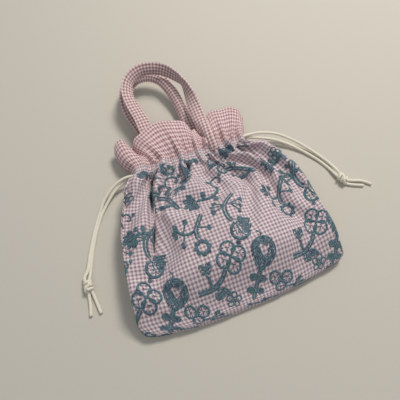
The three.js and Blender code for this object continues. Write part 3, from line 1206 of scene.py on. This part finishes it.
@dataclass
class Collar:
    """The ruffle with the gingham part of its casing, one piece on the front and one on the back."""

    sack: Sack
    cloth_height: float = 27.0            # the ruffle, from casing to edge, in millimetres
    rows: int = 16                        # of quads up the ruffle
    calming: int = 60                     # rounds of smoothing that take the pleats out of the ruffle
    flare: tuple[float, float] = (20.0, 9.0)      # how far the ruffle swings out at its left and right seams
    flare_width: float = 9.0              # how far along the casing that reaches
    shallow: float = 2.0                  # depth of the small creases over the gather line
    crease_count: int = 23
    table_gap: float = 1.4                # the lowest that the ruffle hangs over the table
    ply: float = 0.9 * MM
    # x, y and z along the ruffle's free edge, in millimetres: the front from left to right, then the back
    front_edge: tuple[Point, ...] = (
        (-69, 48, 11), (-67.5, 52, 14.5), (-62.5, 55.5, 17), (-58, 55, 16.5), (-54.6, 51, 11), (-53, 44, 4.5),
        (-51.2, 47.5, 13), (-47.5, 51.5, 17.5), (-41, 53.5, 20), (-34, 57, 21), (-27, 59.5, 21.5),
        (-19, 58.5, 22.5), (-9, 55.5, 23), (0.5, 52.5, 22), (5, 47, 20), (7, 42, 17), (10.6, 43.5, 15.5),
        (14.5, 37.6, 13), (19.5, 38, 12.5), (21.8, 44.2, 14), (24, 50, 17.5), (31, 55, 19.5), (41, 53.5, 20),
        (48, 54, 19.5), (53.5, 51.5, 20), (58, 48, 18), (59, 42, 15), (57, 36, 10.5))
    back_edge: tuple[Point, ...] = (
        (57, 36, 10.5), (61, 41, 7), (63.5, 46, 4), (62, 51, 2), (56, 53, 3.5), (47, 52, 1.6), (38, 54, 4),
        (28, 51, 1.6), (18, 52, 4), (8, 50, 1.6), (-3, 52, 4), (-14, 51, 1.6), (-25, 53, 4), (-36, 51, 1.6),
        (-46, 53, 4), (-55, 51, 1.6), (-63, 51, 3), (-69.5, 49, 6), (-69, 48, 11))

    def build(self, finishes: Finishes) -> None:
        """Make the front and back collar.

        Args:
            finishes: the pouch's finishes.
        """
        for name, front in (("front", True), ("back", False)):
            patch = self.ruffled(front)
            piece = place(f"{name}_ruffle", patch.mesh(f"{name}_ruffle"), finishes.collar)
            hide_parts(f"collar_{name}")
            thicken(piece, self.ply)

    def ruffled(self, front: bool) -> Patch:
        """Grow one side's ruffle from its casing.

        Args:
            front: the front, or else the back.
        Returns:
            The whole collar as a patch of cloth.
        """
        sack = self.sack
        seam = sack.seam_column
        columns = slice(0, seam + 1) if front else slice(seam, None)
        casing = sack.walls.cut(slice(sack.collar_row, None), columns)
        cloth = (casing.across - casing.across[0]) / (casing.across[-1] - casing.across[0])
        base = casing.places[-1]
        edge = spaced(smooth_line(self.front_edge if front else self.back_edge), cloth) * MM
        reach = self.cloth_height * MM
        fan = (edge - base) * np.array([0.55, 0, 0.4])
        swing = self.swing(base)
        start = np.array([0, reach, 0.45 * reach if front else 0.0]) + fan + swing * [1, -0.5, 0]
        finish = np.array([0, 0.75 * reach, -0.15 * reach if front else 0.05 * reach]) + fan - 0.5 * swing
        t = np.linspace(0, 1, self.rows + 1)[1:, None, None]
        calm = self.calmed(base)
        pleats = (base - calm) * (1 - t)**2.6                # they die away up the ruffle
        grown = (pleats + (2 * t**3 - 3 * t**2 + 1) * calm + (t**3 - 2 * t**2 + t) * start
                 + (-2 * t**3 + 3 * t**2) * edge + (t**3 - t**2) * finish)
        wander = 2.6 * np.sin(13 * cloth)                    # so the creases aren't evenly spaced
        waves = np.sin(2 * math.pi * cloth * self.crease_count + wander)
        creases = self.shallow * MM * waves * np.sin(math.pi * cloth)
        height = t[..., 0]
        grown[..., 2] += (creases * (1 - height) ** 2.2) * np.sin(np.pi * np.minimum(1, height * 6) / 2)
        grown[..., 2] = np.maximum(grown[..., 2], self.table_gap * MM)
        up = np.concatenate([casing.up, casing.up[-1] + height[:, 0] * self.cloth_height])
        return Patch(casing.across, up, np.concatenate([casing.places, grown]))

    def calmed(self, line: np.ndarray) -> np.ndarray:
        """Smooth the pleats out of a line across the cloth, keeping its two ends.

        Args:
            line: the line, one point a row.
        Returns:
            The smoothed line.
        """
        calm = line.copy()
        for _ in range(self.calming):
            calm[1:-1] = 0.5 * calm[1:-1] + 0.25 * (calm[:-2] + calm[2:])
        return calm

    def swing(self, base: np.ndarray) -> np.ndarray:
        """Tell how far each column swings outwards as it leaves the casing.

        Args:
            base: the top of the casing, one point a row.
        Returns:
            A push for each of its points, in metres.
        """
        left, right = (side * MM for side in self.sack.neck)
        x = base[:, 0]
        width = self.flare_width * MM
        push = (self.flare[1] * np.exp(-((right - x) / width) ** 2)
                - self.flare[0] * np.exp(-((x - left) / width) ** 2)) * MM
        return np.stack([push, np.abs(push), np.zeros_like(push)], 1)


# ---------------------------------------------------------------- handles


@dataclass
class Handle:
    """A flat gingham handle that follows its stations."""

    name: str
    stations: list[tuple[float, float, float, float, float]]   # x, y, z in mm, roll in degrees, crown in mm
    width: float = 14.0
    ply: float = 1.5 * MM
    columns: int = 10
    seam_inset: float = 1.6               # from the edge to its row of stitches, in millimetres
    stitch_every: float = 2.6
    stitch_size: tuple[float, float] = (1.9, 0.42)

    def build(self, finishes: Finishes) -> None:
        """Make the ribbon and its two rows of stitches.

        Args:
            finishes: the pouch's finishes.
        """
        patch = self.ribbon()
        piece = place(f"{self.name}_ribbon", patch.mesh(self.name), finishes.strap)
        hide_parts(self.name)
        length = float(patch.up[-1])
        thicken(piece, self.ply, 0.0)
        edge = piece.modifiers.new("folded_edge", "BEVEL")
        edge.width = 0.5 * MM
        edge.segments = 2
        edge.limit_method = "ANGLE"
        edge.angle_limit = math.radians(60)
        rows = Needlework()
        for inset in (self.seam_inset, self.width - self.seam_inset):
            for run in np.arange(3.0, length - 3.0, self.stitch_every):
                rows.stitch(inset, float(run), math.pi / 2, *self.stitch_size)
        rows.lay(f"{self.name}_stitching", [patch], self.ply / MM / 2 + 0.02, finishes.seam, Slot.STRAP)

    def ribbon(self) -> Patch:
        """Sweep the strap's section along its stations.

        Returns:
            The strap as a patch of cloth.
        """
        table = np.array(self.stations, float)
        line = smooth_line(table[:, :3], 6)
        places_along = np.linspace(0, len(table) - 1, len(line))
        turn, crown = (np.interp(places_along, np.arange(len(table)), table[:, c]) for c in (3, 4))
        side = np.linspace(-1, 1, self.columns + 1)
        rows = []
        for centre, ahead, roll, rise in zip(line, np.gradient(line, axis=0), turn, crown):
            forward = Vector(ahead).normalized()
            level = forward.cross(Vector((0, 0, 1))).normalized()
            across = Quaternion(forward, math.radians(-roll)) @ level
            up = across.cross(forward).normalized()
            narrowed = self.width / 2 * (1 - 0.05 * abs(rise))
            rows.append([centre + np.array(across) * narrowed * s + np.array(up) * rise * (0.5 - s * s)
                         for s in side])
        places = np.array(rows) * MM
        return Patch((side + 1) * self.width / 2, travelled(line), places)


# ---------------------------------------------------------------- needlework


@dataclass
class Needlework:
    """Separate stitches on flat cloth: across, up, direction, length and width of each."""

    stitches: list[tuple[float, float, float, float, float]] = field(default_factory=list)
    height: float = 0.5                   # of a stitch over the cloth, in millimetres

    def stitch(self, across: float, up: float, angle: float, length: float, width: float) -> None:
        """Take one stitch, in millimetres and radians."""
        self.stitches.append((across, up, angle, length, width))

    def flat_mesh(self, name: str, lift: float) -> bpy.types.Mesh:
        """Make every stitch on the flat cloth, in millimetres.

        Args:
            name: the mesh's name.
            lift: height of the stitches' middles.
        Returns:
            The mesh.
        """
        bm = bmesh.new()
        bmesh.ops.create_icosphere(bm, subdivisions=1, radius=0.5)
        grain = bpy.data.meshes.new("grain")
        bm.to_mesh(grain)
        bm.clear()
        shape = np.array([v.co[:] for v in grain.vertices])
        for across, up, angle, length, width in self.stitches:
            cos, sin = math.cos(angle), math.sin(angle)
            x, y = shape[:, 0] * length, shape[:, 1] * width
            placed = np.stack([across + x * cos - y * sin, up + x * sin + y * cos,
                               shape[:, 2] * self.height + lift], 1)
            grain.vertices.foreach_set("co", placed.ravel())
            bm.from_mesh(grain)
        for face in bm.faces:
            face.smooth = True
        mesh = bpy.data.meshes.new(name)
        bm.to_mesh(mesh)
        bm.free()
        bpy.data.meshes.remove(grain)
        return mesh

    def lay(self, name: str, patches: Sequence[Patch], lift: float, material: bpy.types.Material,
            slot: Slot) -> bpy.types.Object:
        """Lay the stitches on the cloth as it hangs.

        Args:
            name: the piece's name.
            patches: the wall first, and the bottom below it if there is one.
            lift: height of the stitches' middles over the cloth, in millimetres.
            material: the thread.
            slot: not used.
        Returns:
            The piece.
        """
        mesh = self.flat_mesh(name, lift)
        flat = np.empty(len(mesh.vertices) * 3)
        mesh.vertices.foreach_get("co", flat)
        flat = flat.reshape(-1, 3)
        laid = patches[0].lay(flat)
        if len(patches) > 1:
            below = flat[:, 1] < 0
            laid[below] = patches[1].lay(flat[below])
        mesh.vertices.foreach_set("co", laid.ravel())
        mesh.update()
        return place(name, mesh, material)


# ---------------------------------------------------------------- embroidery


def round_outline(x: float, y: float, wide: float, high: float, count: int = 24) -> np.ndarray:
    """Give the outline of a rounded shape, n x 2."""
    a = np.linspace(0, 2 * math.pi, count, endpoint=False)
    return np.stack([x + wide * np.cos(a), y + high * np.sin(a)], 1)


def leaf_outline(base: tuple[float, float], tip: tuple[float, float], half_width: float) -> np.ndarray:
    """Give the outline of a leaf or petal, fullest past its middle.

    Args:
        base: where it starts.
        tip: where it ends.
        half_width: half its width where it is fullest.
    Returns:
        The outline, n x 2.
    """
    start, end = np.array(base, float), np.array(tip, float)
    way = end - start
    side = np.array([-way[1], way[0]]) / np.linalg.norm(way) * half_width
    t = np.linspace(0, 1, 12)[:, None]
    bulge = np.sin(math.pi * t**1.25)
    return np.concatenate([start + way * t + side * bulge, (start + way * t - side * bulge)[::-1]])


@dataclass
class Motif:
    """One embroidered motif, drawn upright round its own origin, in millimetres."""

    work: Needlework = field(default_factory=Needlework)

    def rope(self, points: Sequence[Sequence[float]], width: float = 2.1) -> "Motif":
        """Work a slanted stem stitch along a line.

        Args:
            points: the line.
            width: how wide the rope of stitches is.
        Returns:
            The motif.
        """
        line = smooth_line(points)
        run = travelled(line)
        marks = np.arange(0.3, run[-1], 0.62)
        x, y = (np.interp(marks, run, column) for column in line.T)
        heading = np.arctan2(np.gradient(y), np.gradient(x)) if len(marks) > 1 else np.zeros(len(marks))
        for place_x, place_y, angle in zip(x, y, heading):
            self.work.stitch(float(place_x), float(place_y), float(angle) + 0.85, width * 1.5, 1.0)
        return self

    def chain(self, points: Sequence[Sequence[float]], apart: float = 2.3) -> "Motif":
        """Work two ropes side by side, with the cloth showing between them.

        Args:
            points: the line down their middle.
            apart: from the middle of one rope to the other's.
        Returns:
            The motif.
        """
        line = smooth_line(points)
        ahead = np.gradient(line, axis=0)
        side = np.stack([-ahead[:, 1], ahead[:, 0]], 1) / np.linalg.norm(ahead, axis=1)[:, None] * apart / 2
        return self.rope((line + side)[::3], 1.8).rope((line - side)[::3], 1.8)

    def satin(self, outline: np.ndarray, direction: float, longest: float = 2.6,
              hole: np.ndarray | None = None, pitch: float = 0.62) -> "Motif":
        """Fill a shape with rows of stitches.

        Args:
            outline: the shape's edge, n x 2.
            direction: the way the stitches run, in degrees.
            longest: the longest stitch.
            hole: the edge of a gap left in it, n x 2.
            pitch: from row to row.
        Returns:
            The motif.
        """
        angle = math.radians(direction)
        turn = np.array([[math.cos(angle), math.sin(angle)], [-math.sin(angle), math.cos(angle)]])
        edges = [shape @ turn.T for shape in (outline, hole) if shape is not None]
        rows = np.arange(edges[0][:, 1].min() + pitch / 2, edges[0][:, 1].max(), pitch)
        for number, y in enumerate(rows):
            crossings = sorted(x for edge in edges for x in self.crossings(edge, y))
            for start, end in zip(crossings[::2], crossings[1::2]):
                count = max(1, math.ceil((end - start) / longest - 0.2 * (number % 2)))
                length = (end - start) / count
                for k in range(count):
                    if (29 * number + 53 * k + 7 * number * number) % 12 == 0 and len(rows) > 14:
                        continue                      # a fleck of the cloth shows through
                    middle = np.array([start + (k + 0.5) * length, y]) @ turn
                    self.work.stitch(float(middle[0]), float(middle[1]), angle + 0.12 * (-1) ** (number + k),
                                     length + 0.45, 0.92)
        return self

    @staticmethod
    def crossings(edge: np.ndarray, y: float) -> list[float]:
        """Tell where a level line crosses a closed edge.

        Args:
            edge: the edge, n x 2.
            y: the line's height.
        Returns:
            The x of each crossing.
        """
        following = np.roll(edge, -1, axis=0)
        crossed = (edge[:, 1] > y) != (following[:, 1] > y)
        a, b = edge[crossed], following[crossed]
        return list(a[:, 0] + (y - a[:, 1]) / (b[:, 1] - a[:, 1]) * (b[:, 0] - a[:, 0]))

    def dot(self, x: float, y: float, radius: float, direction: float = 20) -> "Motif":
        """Fill a small round berry."""
        return self.satin(round_outline(x, y, radius, radius, 14), direction, longest=2 * radius + 0.5)

    def leaf(self, base: tuple[float, float], tip: tuple[float, float], half_width: float) -> "Motif":
        """Fill a leaf with stitches slanting from its rib."""
        slant = math.degrees(math.atan2(tip[1] - base[1], tip[0] - base[0])) + 28
        return self.satin(leaf_outline(base, tip, half_width), slant, longest=3.0)

    def ring(self, x: float, y: float, radius: float, width: float = 1.9) -> "Motif":
        """Work a rope round a circle."""
        a = np.linspace(0.2, 2 * math.pi + 0.2, 15)
        return self.rope(np.stack([x + radius * np.cos(a), y + radius * np.sin(a)], 1), width)

    def wreath(self, x: float, y: float, radius: float, facing: float = 0.0, sweep: float = 360.0) -> "Motif":
        """Work a thin rope round a circle or part of one, with spokes inside it and its middle stitched.

        Args:
            x: its middle.
            y: its middle.
            radius: its radius.
            facing: the way the middle of the rope lies, in degrees.
            sweep: how far round it goes, in degrees.
        Returns:
            The motif.
        """
        half = math.radians(sweep / 2)
        turns = math.radians(facing) + np.linspace(-half, half, 15)
        self.rope(np.stack([x + radius * np.cos(turns), y + radius * np.sin(turns)], 1), 1.8)
        inner = radius - 1.5
        for a in math.radians(facing) + np.linspace(-half, half, round(sweep / 33)) + 0.15:
            self.work.stitch(x + inner * math.cos(a), y + inner * math.sin(a), float(a), 2.1, 0.8)
        return self.seeds(x, y, 0.8, 3)

    def seeds(self, x: float, y: float, radius: float, count: int) -> "Motif":
        """Set short stitches that point outwards round a middle.

        Args:
            x: the middle.
            y: the middle.
            radius: how far out each stitch is.
            count: how many there are.
        Returns:
            The motif.
        """
        for k in range(count):
            a = 2 * math.pi * k / count + 0.4
            self.work.stitch(x + radius * math.cos(a), y + radius * math.sin(a), a, 2.1, 1.1)
        return self

    def berries(self, root: tuple[float, float], ends: Sequence[tuple[float, float]],
                radius: float) -> "Motif":
        """Set berries on thin stalks from one root.

        Args:
            root: where the stalks start.
            ends: the middle of each berry.
            radius: the berries' size.
        Returns:
            The motif.
        """
        for end in ends:
            self.rope([root, end], 1.3)
            self.dot(*end, 1.3 * radius)
        return self


def clover_sprig() -> Motif:
    """Draw a four-petalled flower on a bent stem with a heart-shaped leaf.

    Returns:
        The motif.
    """
    motif = Motif()
    for degrees in (20, 113, 205, 292):
        a = math.radians(degrees)
        x, y = 6.4 * math.cos(a), 6.4 * math.sin(a)
        motif.wreath(x, y, 5.5, degrees, 200)
    for degrees in (66, 158, 248, 338):
        a = math.radians(degrees)
        motif.leaf((0.6 * math.cos(a), 0.6 * math.sin(a)), (9.4 * math.cos(a), 9.4 * math.sin(a)), 1.8)
    for degrees in (66, 158):
        a = math.radians(degrees)
        motif.rope([(-6 * math.cos(a), -6 * math.sin(a)), (6 * math.cos(a), 6 * math.sin(a))], 1.7)
    motif.chain([(-4.4, -9.5), (-7.5, -16), (-14.3, -22.6), (-20, -25), (-28, -27.6)], 2.1)
    motif.rope([(-14.4, -22.4), (-16.6, -18.6), (-18, -14.6)], 2.3)
    heart = smooth_line([(-18.6, -15.8), (-23.2, -13.4), (-26.2, -9.6), (-24, -6.6), (-21.4, -8), (-19.6, -5),
                         (-16.4, -5), (-15.4, -9.4), (-18.6, -15.8)], 4)
    return motif.satin(heart, 62)


def pear_sprig() -> Motif:
    """Draw a large pear-shaped seed head with an opening, on a straight stem with two pairs of leaves.

    Returns:
        The motif.
    """
    motif = Motif()
    head = smooth_line([(-2.6, -14.2), (-8.6, -6.4), (-10.9, 1.2), (-8.2, 8), (-2.4, 11.2), (4.2, 11),
                        (9.4, 6.4), (10.8, -0.6), (7.2, -7.6), (0.6, -12.4), (-2.6, -14.2)], 4)
    gap = smooth_line([(0.4, -3.4), (-3, 2.2), (-2.4, 5), (1.4, 3.6), (3.8, 4), (3.4, 0), (0.4, -3.4)], 4)
    motif.satin(head, 64, longest=1.9, hole=gap, pitch=0.66)
    motif.rope([(-2.4, 11), (-2, 13.6), (-4.8, 16.2)], 1.2)
    motif.chain([(-1.6, -10), (-3.4, -17), (-5, -24), (-6.4, -30), (-6.9, -37)], 2.1)
    for left, right, root in (((-10.6, -15.6), (3, -17.6), (-4, -19.6)),
                              ((-12.8, -26), (1.8, -27.6), (-5.8, -28.2))):
        motif.satin(round_outline((left[0] + root[0]) / 2 - 0.6, (left[1] + root[1]) / 2, 3.7, 2.7, 16), 150)
        motif.satin(round_outline((right[0] + root[0]) / 2 + 0.6, (right[1] + root[1]) / 2, 3.7, 2.7, 16), 20)
    return motif


def berry_branch() -> Motif:
    """Draw a ring of dots under a forked branch with berries.

    Returns:
        The motif.
    """
    motif = Motif()
    for k in range(8):
        a = 2 * math.pi * k / 8 + 0.2
        motif.dot(5.7 * math.cos(a), 5.7 * math.sin(a), 2.15, 40 * k)
    motif.ring(0, 0, 4.6, 2.3)
    motif.chain([(-1.6, 29), (-4, 21.5), (-5.6, 15), (-4.4, 9.6), (-3, 6.8)])
    motif.rope([(-6, 14.6), (-11.4, 11.6), (-17, 12), (-22.4, 15.4)], 2.5)
    motif.leaf((-20.6, 14), (-26.4, 21.4), 2.4).leaf((-21, 13.4), (-28.6, 14), 2.2)
    motif.leaf((-21, 12.6), (-24.4, 8), 2)
    motif.berries((-16, 12.4), [(-15, 22.6)], 2.1).berries((-15, 11.6), [(-15.6, 2)], 2.3)
    return motif.berries((-4.6, 17.8), [(5.6, 17)], 1.9)


def tulip_sprig() -> Motif:
    """Draw a half-open tulip on a curved stem with two sprays of berries.

    Returns:
        The motif.
    """
    motif = Motif()
    motif.leaf((-5, 3), (1, 10.4), 3).leaf((-3.4, 2), (8, 10.4), 3.6).leaf((-1.6, 0.4), (9.2, 3.6), 3.4)
    motif.leaf((0, -2.4), (8, -3.4), 3)
    motif.rope([(-6.4, 3.4), (-9, -2), (-7.6, -8), (-2.8, -11)], 2.7)
    motif.rope([(-2.8, -11), (2.4, -9.4), (6.6, -5)], 2.7)
    motif.rope([(-5.6, 3), (-2.6, -2.6), (1, -7)], 1.4).seeds(-4.8, -3.4, 2.2, 6).seeds(-0.4, -5.8, 2.4, 7)
    motif.seeds(3.4, -3.6, 1.6, 5).rope([(-3.2, 2.4), (0.6, -1.4), (4.4, -5.4)], 1.2)
    motif.dot(-3.6, -13.6, 2.2)
    motif.chain([(-8, 33.6), (-12.6, 26), (-14.6, 18), (-12.4, 10), (-7, 3.8)], 2.4)
    motif.berries((-14.8, 19), [(-24.8, 26), (-25.4, 19.6), (-23.8, 13)], 2.1)
    return motif.berries((-10.6, 22), [(-0.8, 27.6), (-1, 21.4), (-1.8, 16)], 1.8)


def fan_leaf() -> Motif:
    """Draw a leaf of five lobes on a short stem with a bud.

    Returns:
        The motif.
    """
    motif = Motif()
    for degrees, reach in ((162, 11.5), (192, 13), (222, 14), (250, 14), (278, 12)):
        a = math.radians(degrees)
        tip = (5 + reach * math.cos(a), 2.6 + reach * math.sin(a))
        motif.leaf((5 + math.cos(a), 2.6 + math.sin(a)), tip, 2.5)
    motif.rope([(5, 2.6), (11, 4.8), (16, 7), (20.6, 11.6), (23.6, 16.4)], 2.8)
    return motif.dot(22, 6.6, 3.2).dot(9.4, 8.6, 2.9)


def rosette_row() -> Motif:
    """Draw three small rosettes with a leafy tail.

    Returns:
        The motif.
    """
    motif = Motif()
    for x, y in ((-6.4, 2.8), (4.4, 3.8), (-0.4, -4.4)):
        motif.wreath(x, y, 4.6)
    motif.rope([(4, -4.6), (10, -3.6), (17, -2.4)], 2.6)
    return motif.leaf((13, -2), (18.4, 5.6), 2.2).leaf((16, -2.4), (23.6, -0.6), 2.2)


def scribble_flower() -> Motif:
    """Draw a loose flower of short looped lines.

    Returns:
        The motif.
    """
    motif = Motif()
    for k in range(5):
        a = 2 * math.pi * k / 5 + 0.3
        motif.ring(4.2 * math.cos(a), 4.2 * math.sin(a), 2.2, 1.1)
    return motif.seeds(0, 0, 1.2, 5)


def half_leaf() -> Motif:
    """Draw a half-round leaf.

    Returns:
        The motif.
    """
    outline = smooth_line([(-7, -4.6), (-7.4, 0.6), (-3, 4.4), (3, 4), (7.6, 0.2), (3.6, -0.8), (0.8, -1.8),
                           (-1.6, -5.6), (-7, -4.6)], 4)
    return Motif().satin(outline, 24)


def long_spray() -> Motif:
    """Draw a long curved stem with three clover flowers and a toothed leaf.

    Returns:
        The motif.
    """
    motif = Motif()
    for x, y in ((1.4, 4), (-10.6, 1), (-2.6, -8)):
        motif.ring(x, y, 4.2, 1.9).seeds(x, y, 2.2, 5).seeds(x, y, 0.4, 2)
    motif.chain([(-15, -4), (-2, -2), (12, -3.6), (22, -9.6), (31, -17)])
    motif.leaf((12.4, -2.6), (8.6, 6.6), 1.9).leaf((14, -3), (15.6, 4), 1.8)
    for k in range(5):
        motif.dot(7 + 4.1 * k, -13.4 + 1.1 * math.sin(1.9 * k), 2.5, 30 * k)
    return motif


def edge_run() -> Motif:
    """Draw a leafy line that lies along the bottom edge.

    Returns:
        The motif.
    """
    motif = Motif()
    motif.rope([(-9, -0.6), (-3, 0.4), (4, -0.2), (10, 0.8)], 2.4)
    return motif.leaf((-4, 0), (-9.4, 3), 1.4).leaf((4, 0), (9.6, -2.4), 1.5)


def curl_sprig() -> Motif:
    """Draw a small curl with three leaves.

    Returns:
        The motif.
    """
    motif = Motif()
    motif.rope([(-5, -6), (-6.4, 0), (-3, 5), (2, 5), (3.4, 1.4), (0.4, 0.4)], 1.8)
    return motif.leaf((-6, -2), (-11, 2.4), 1.8).leaf((-5.4, -5), (0.6, -8), 1.8).dot(4.6, 7, 1.9)


@dataclass
class Embroidery:
    """The motifs on one panel, and where each is worked."""

    name: str
    patches: tuple[Patch, Patch]
    top: float                            # nothing is worked above this, in millimetres up the cloth
    lean: float = math.radians(-20)

    def build(self, spots: Sequence[tuple[Callable[[], Motif], Sequence[tuple[float, float]]]],
              finishes: Finishes) -> None:
        """Work every motif at each of its spots.

        Args:
            spots: each motif with its places on the cloth, in millimetres.
            finishes: the pouch's finishes.
        """
        left, right = self.patches[0].across[0] + 1.2, self.patches[0].across[-1] - 1.2
        bottom = self.patches[1].up[0]
        cos, sin = math.cos(self.lean), math.sin(self.lean)
        work = Needlework()
        for draw, places in spots:
            drawn = draw().work.stitches
            for across, up in places:
                for x, y, angle, length, width in drawn:
                    u, v = across + x * cos - y * sin, up + x * sin + y * cos
                    if left < u < right and bottom < v < self.top:
                        work.stitch(u, v, angle + self.lean, length, width)
        piece = work.lay(self.name, self.patches, 0.16, finishes.floss, Slot.EMBROIDERED)
        log.info("%s: %d stitches", piece.name, len(work.stitches))


def front_spots() -> list[tuple[Callable[[], Motif], list[tuple[float, float]]]]:
    """Give the front's motifs their places on the cloth.

    Returns:
        Each motif with its places, in millimetres across and up the cloth.
    """
    return [
        (clover_sprig, [(102, 36), (188, 36), (26, 28)]),
        (pear_sprig, [(129, 31), (50, 25.5), (93, 139), (206, 28)]),
        (berry_branch, [(83.5, 50), (172, 58), (8, 52)]),
        (tulip_sprig, [(120, 55), (40, 53), (203, 62)]),
        (fan_leaf, [(87, 97), (178, 105), (20, 80), (108, 150), (166, 149)]),
        (rosette_row, [(61.5, 5), (138.5, 6), (210, 3), (10, -3)]),
        (scribble_flower, [(94.5, 6.5), (176, 6.5), (14, 118), (198, 112), (38, 148), (136, 149), (90, 126)]),
        (half_leaf, [(88, 14), (172, 15), (160, 139), (28, 142), (194, 150), (88, 150)]),
        (long_spray, [(136, 127), (54, 118)]),
        (edge_run, [(78, -9), (48, -8), (112, -9), (156, -9), (190, -8), (126, -10)]),
        (berry_branch, [(66, 142), (152, 147), (24, 152)]),
        (curl_sprig, [(60, 139), (189, 84), (16, 98), (204, 92), (12, 54), (118, 112), (70, 128),
                      (186, 136)]),
    ]


def back_spots(start: float) -> list[tuple[Callable[[], Motif], list[tuple[float, float]]]]:
    """Repeat the motifs in rows across the back, from one seam to the other.

    Args:
        start: the first seam's place on the cloth, in millimetres.
    Returns:
        Each motif with its places on the cloth.
    """
    repeat = 83.0
    rows = [(clover_sprig, 40, 36), (pear_sprig, 66, 31), (berry_branch, 22, 52), (tulip_sprig, 58, 56),
            (fan_leaf, 24, 97), (rosette_row, 76, 5), (scribble_flower, 33, 7), (half_leaf, 27, 15),
            (long_spray, 74, 128), (curl_sprig, 44, 88), (fan_leaf, 44, 143), (curl_sprig, 10, 124)]
    return [(draw, [(start + offset + repeat * k, up) for k in range(3)]) for draw, offset, up in rows]


# ---------------------------------------------------------------- the whole pouch


def handles() -> list[Handle]:
    """Give the two handles their stations: x, y, z in mm, roll in degrees, crown in mm.

    Returns:
        The front handle and the back one.
    """
    front = [(-31.5, 24, 12, 0, 0.6), (-33, 46, 16.6, -4, 0.6), (-35, 68, 20, -16, 0.8),
             (-38.6, 86, 22.5, -26, 1.0), (-39.4, 99, 24.5, -38, 1.2), (-34, 112, 26, -55, 1.4),
             (-21.5, 118.7, 27, -60, 1.6),
             (-8, 117.2, 27, -60, 1.6), (2, 112, 26.5, -64, 1.2), (9.4, 104, 25.8, -78, 0.6),
             (15.2, 94, 25.5, -90, 0.2), (17.2, 80, 24, -60, 0.4), (17.6, 64, 22, -24, 0.8),
             (17.8, 50, 21, -10, 2.0), (18.4, 38, 21, -34, 4.2), (19.4, 27, 20, -64, 5.0),
             (20.6, 15, 16.5, -80, 5.0)]
    back = [(-31, 24, 6.2, 0, 0.4), (-33, 46, 6.4, 0, 0.4), (-37.6, 66, 8.6, 0, 0.4), (-42, 83, 11, -6, 0.6),
            (-42.6, 98, 13.4, -14, 0.8), (-37.4, 112.6, 15.2, -22, 1.2), (-26.4, 120, 16, -24, 1.8),
            (-13.4, 119.4, 16, -24, 2.6), (-3, 111.4, 15.4, -20, 3.6), (2.8, 98.4, 13.6, -12, 4.4),
            (6.2, 83.6, 11.2, -6, 4.6), (8, 67, 8.8, 0, 4.0), (8.8, 46, 6.6, 0, 2.4), (9.2, 24, 6.4, 0, 0.4)]
    return [Handle("handle_front", front), Handle("handle_back", back)]


def main() -> None:
    """Build the pouch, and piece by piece."""
    logging.basicConfig(level=logging.INFO, format="%(message)s")
    Studio().build()
    finishes = Finishes()
    for cord in (right_cord(), left_cord()):
        cord.build(finishes)
    sack = Sack()
    sack.build(finishes)
    Collar(sack).build(finishes)
    for handle in handles():
        handle.build(finishes)
    sewn_at = sack.height - 0.6
    Embroidery("front_embroidery", sack.panel(True), sewn_at).build(front_spots(), finishes)
    Embroidery("back_embroidery", sack.panel(False), sewn_at).build(back_spots(sack.half_round), finishes)


if __name__ == "__main__":
    main()
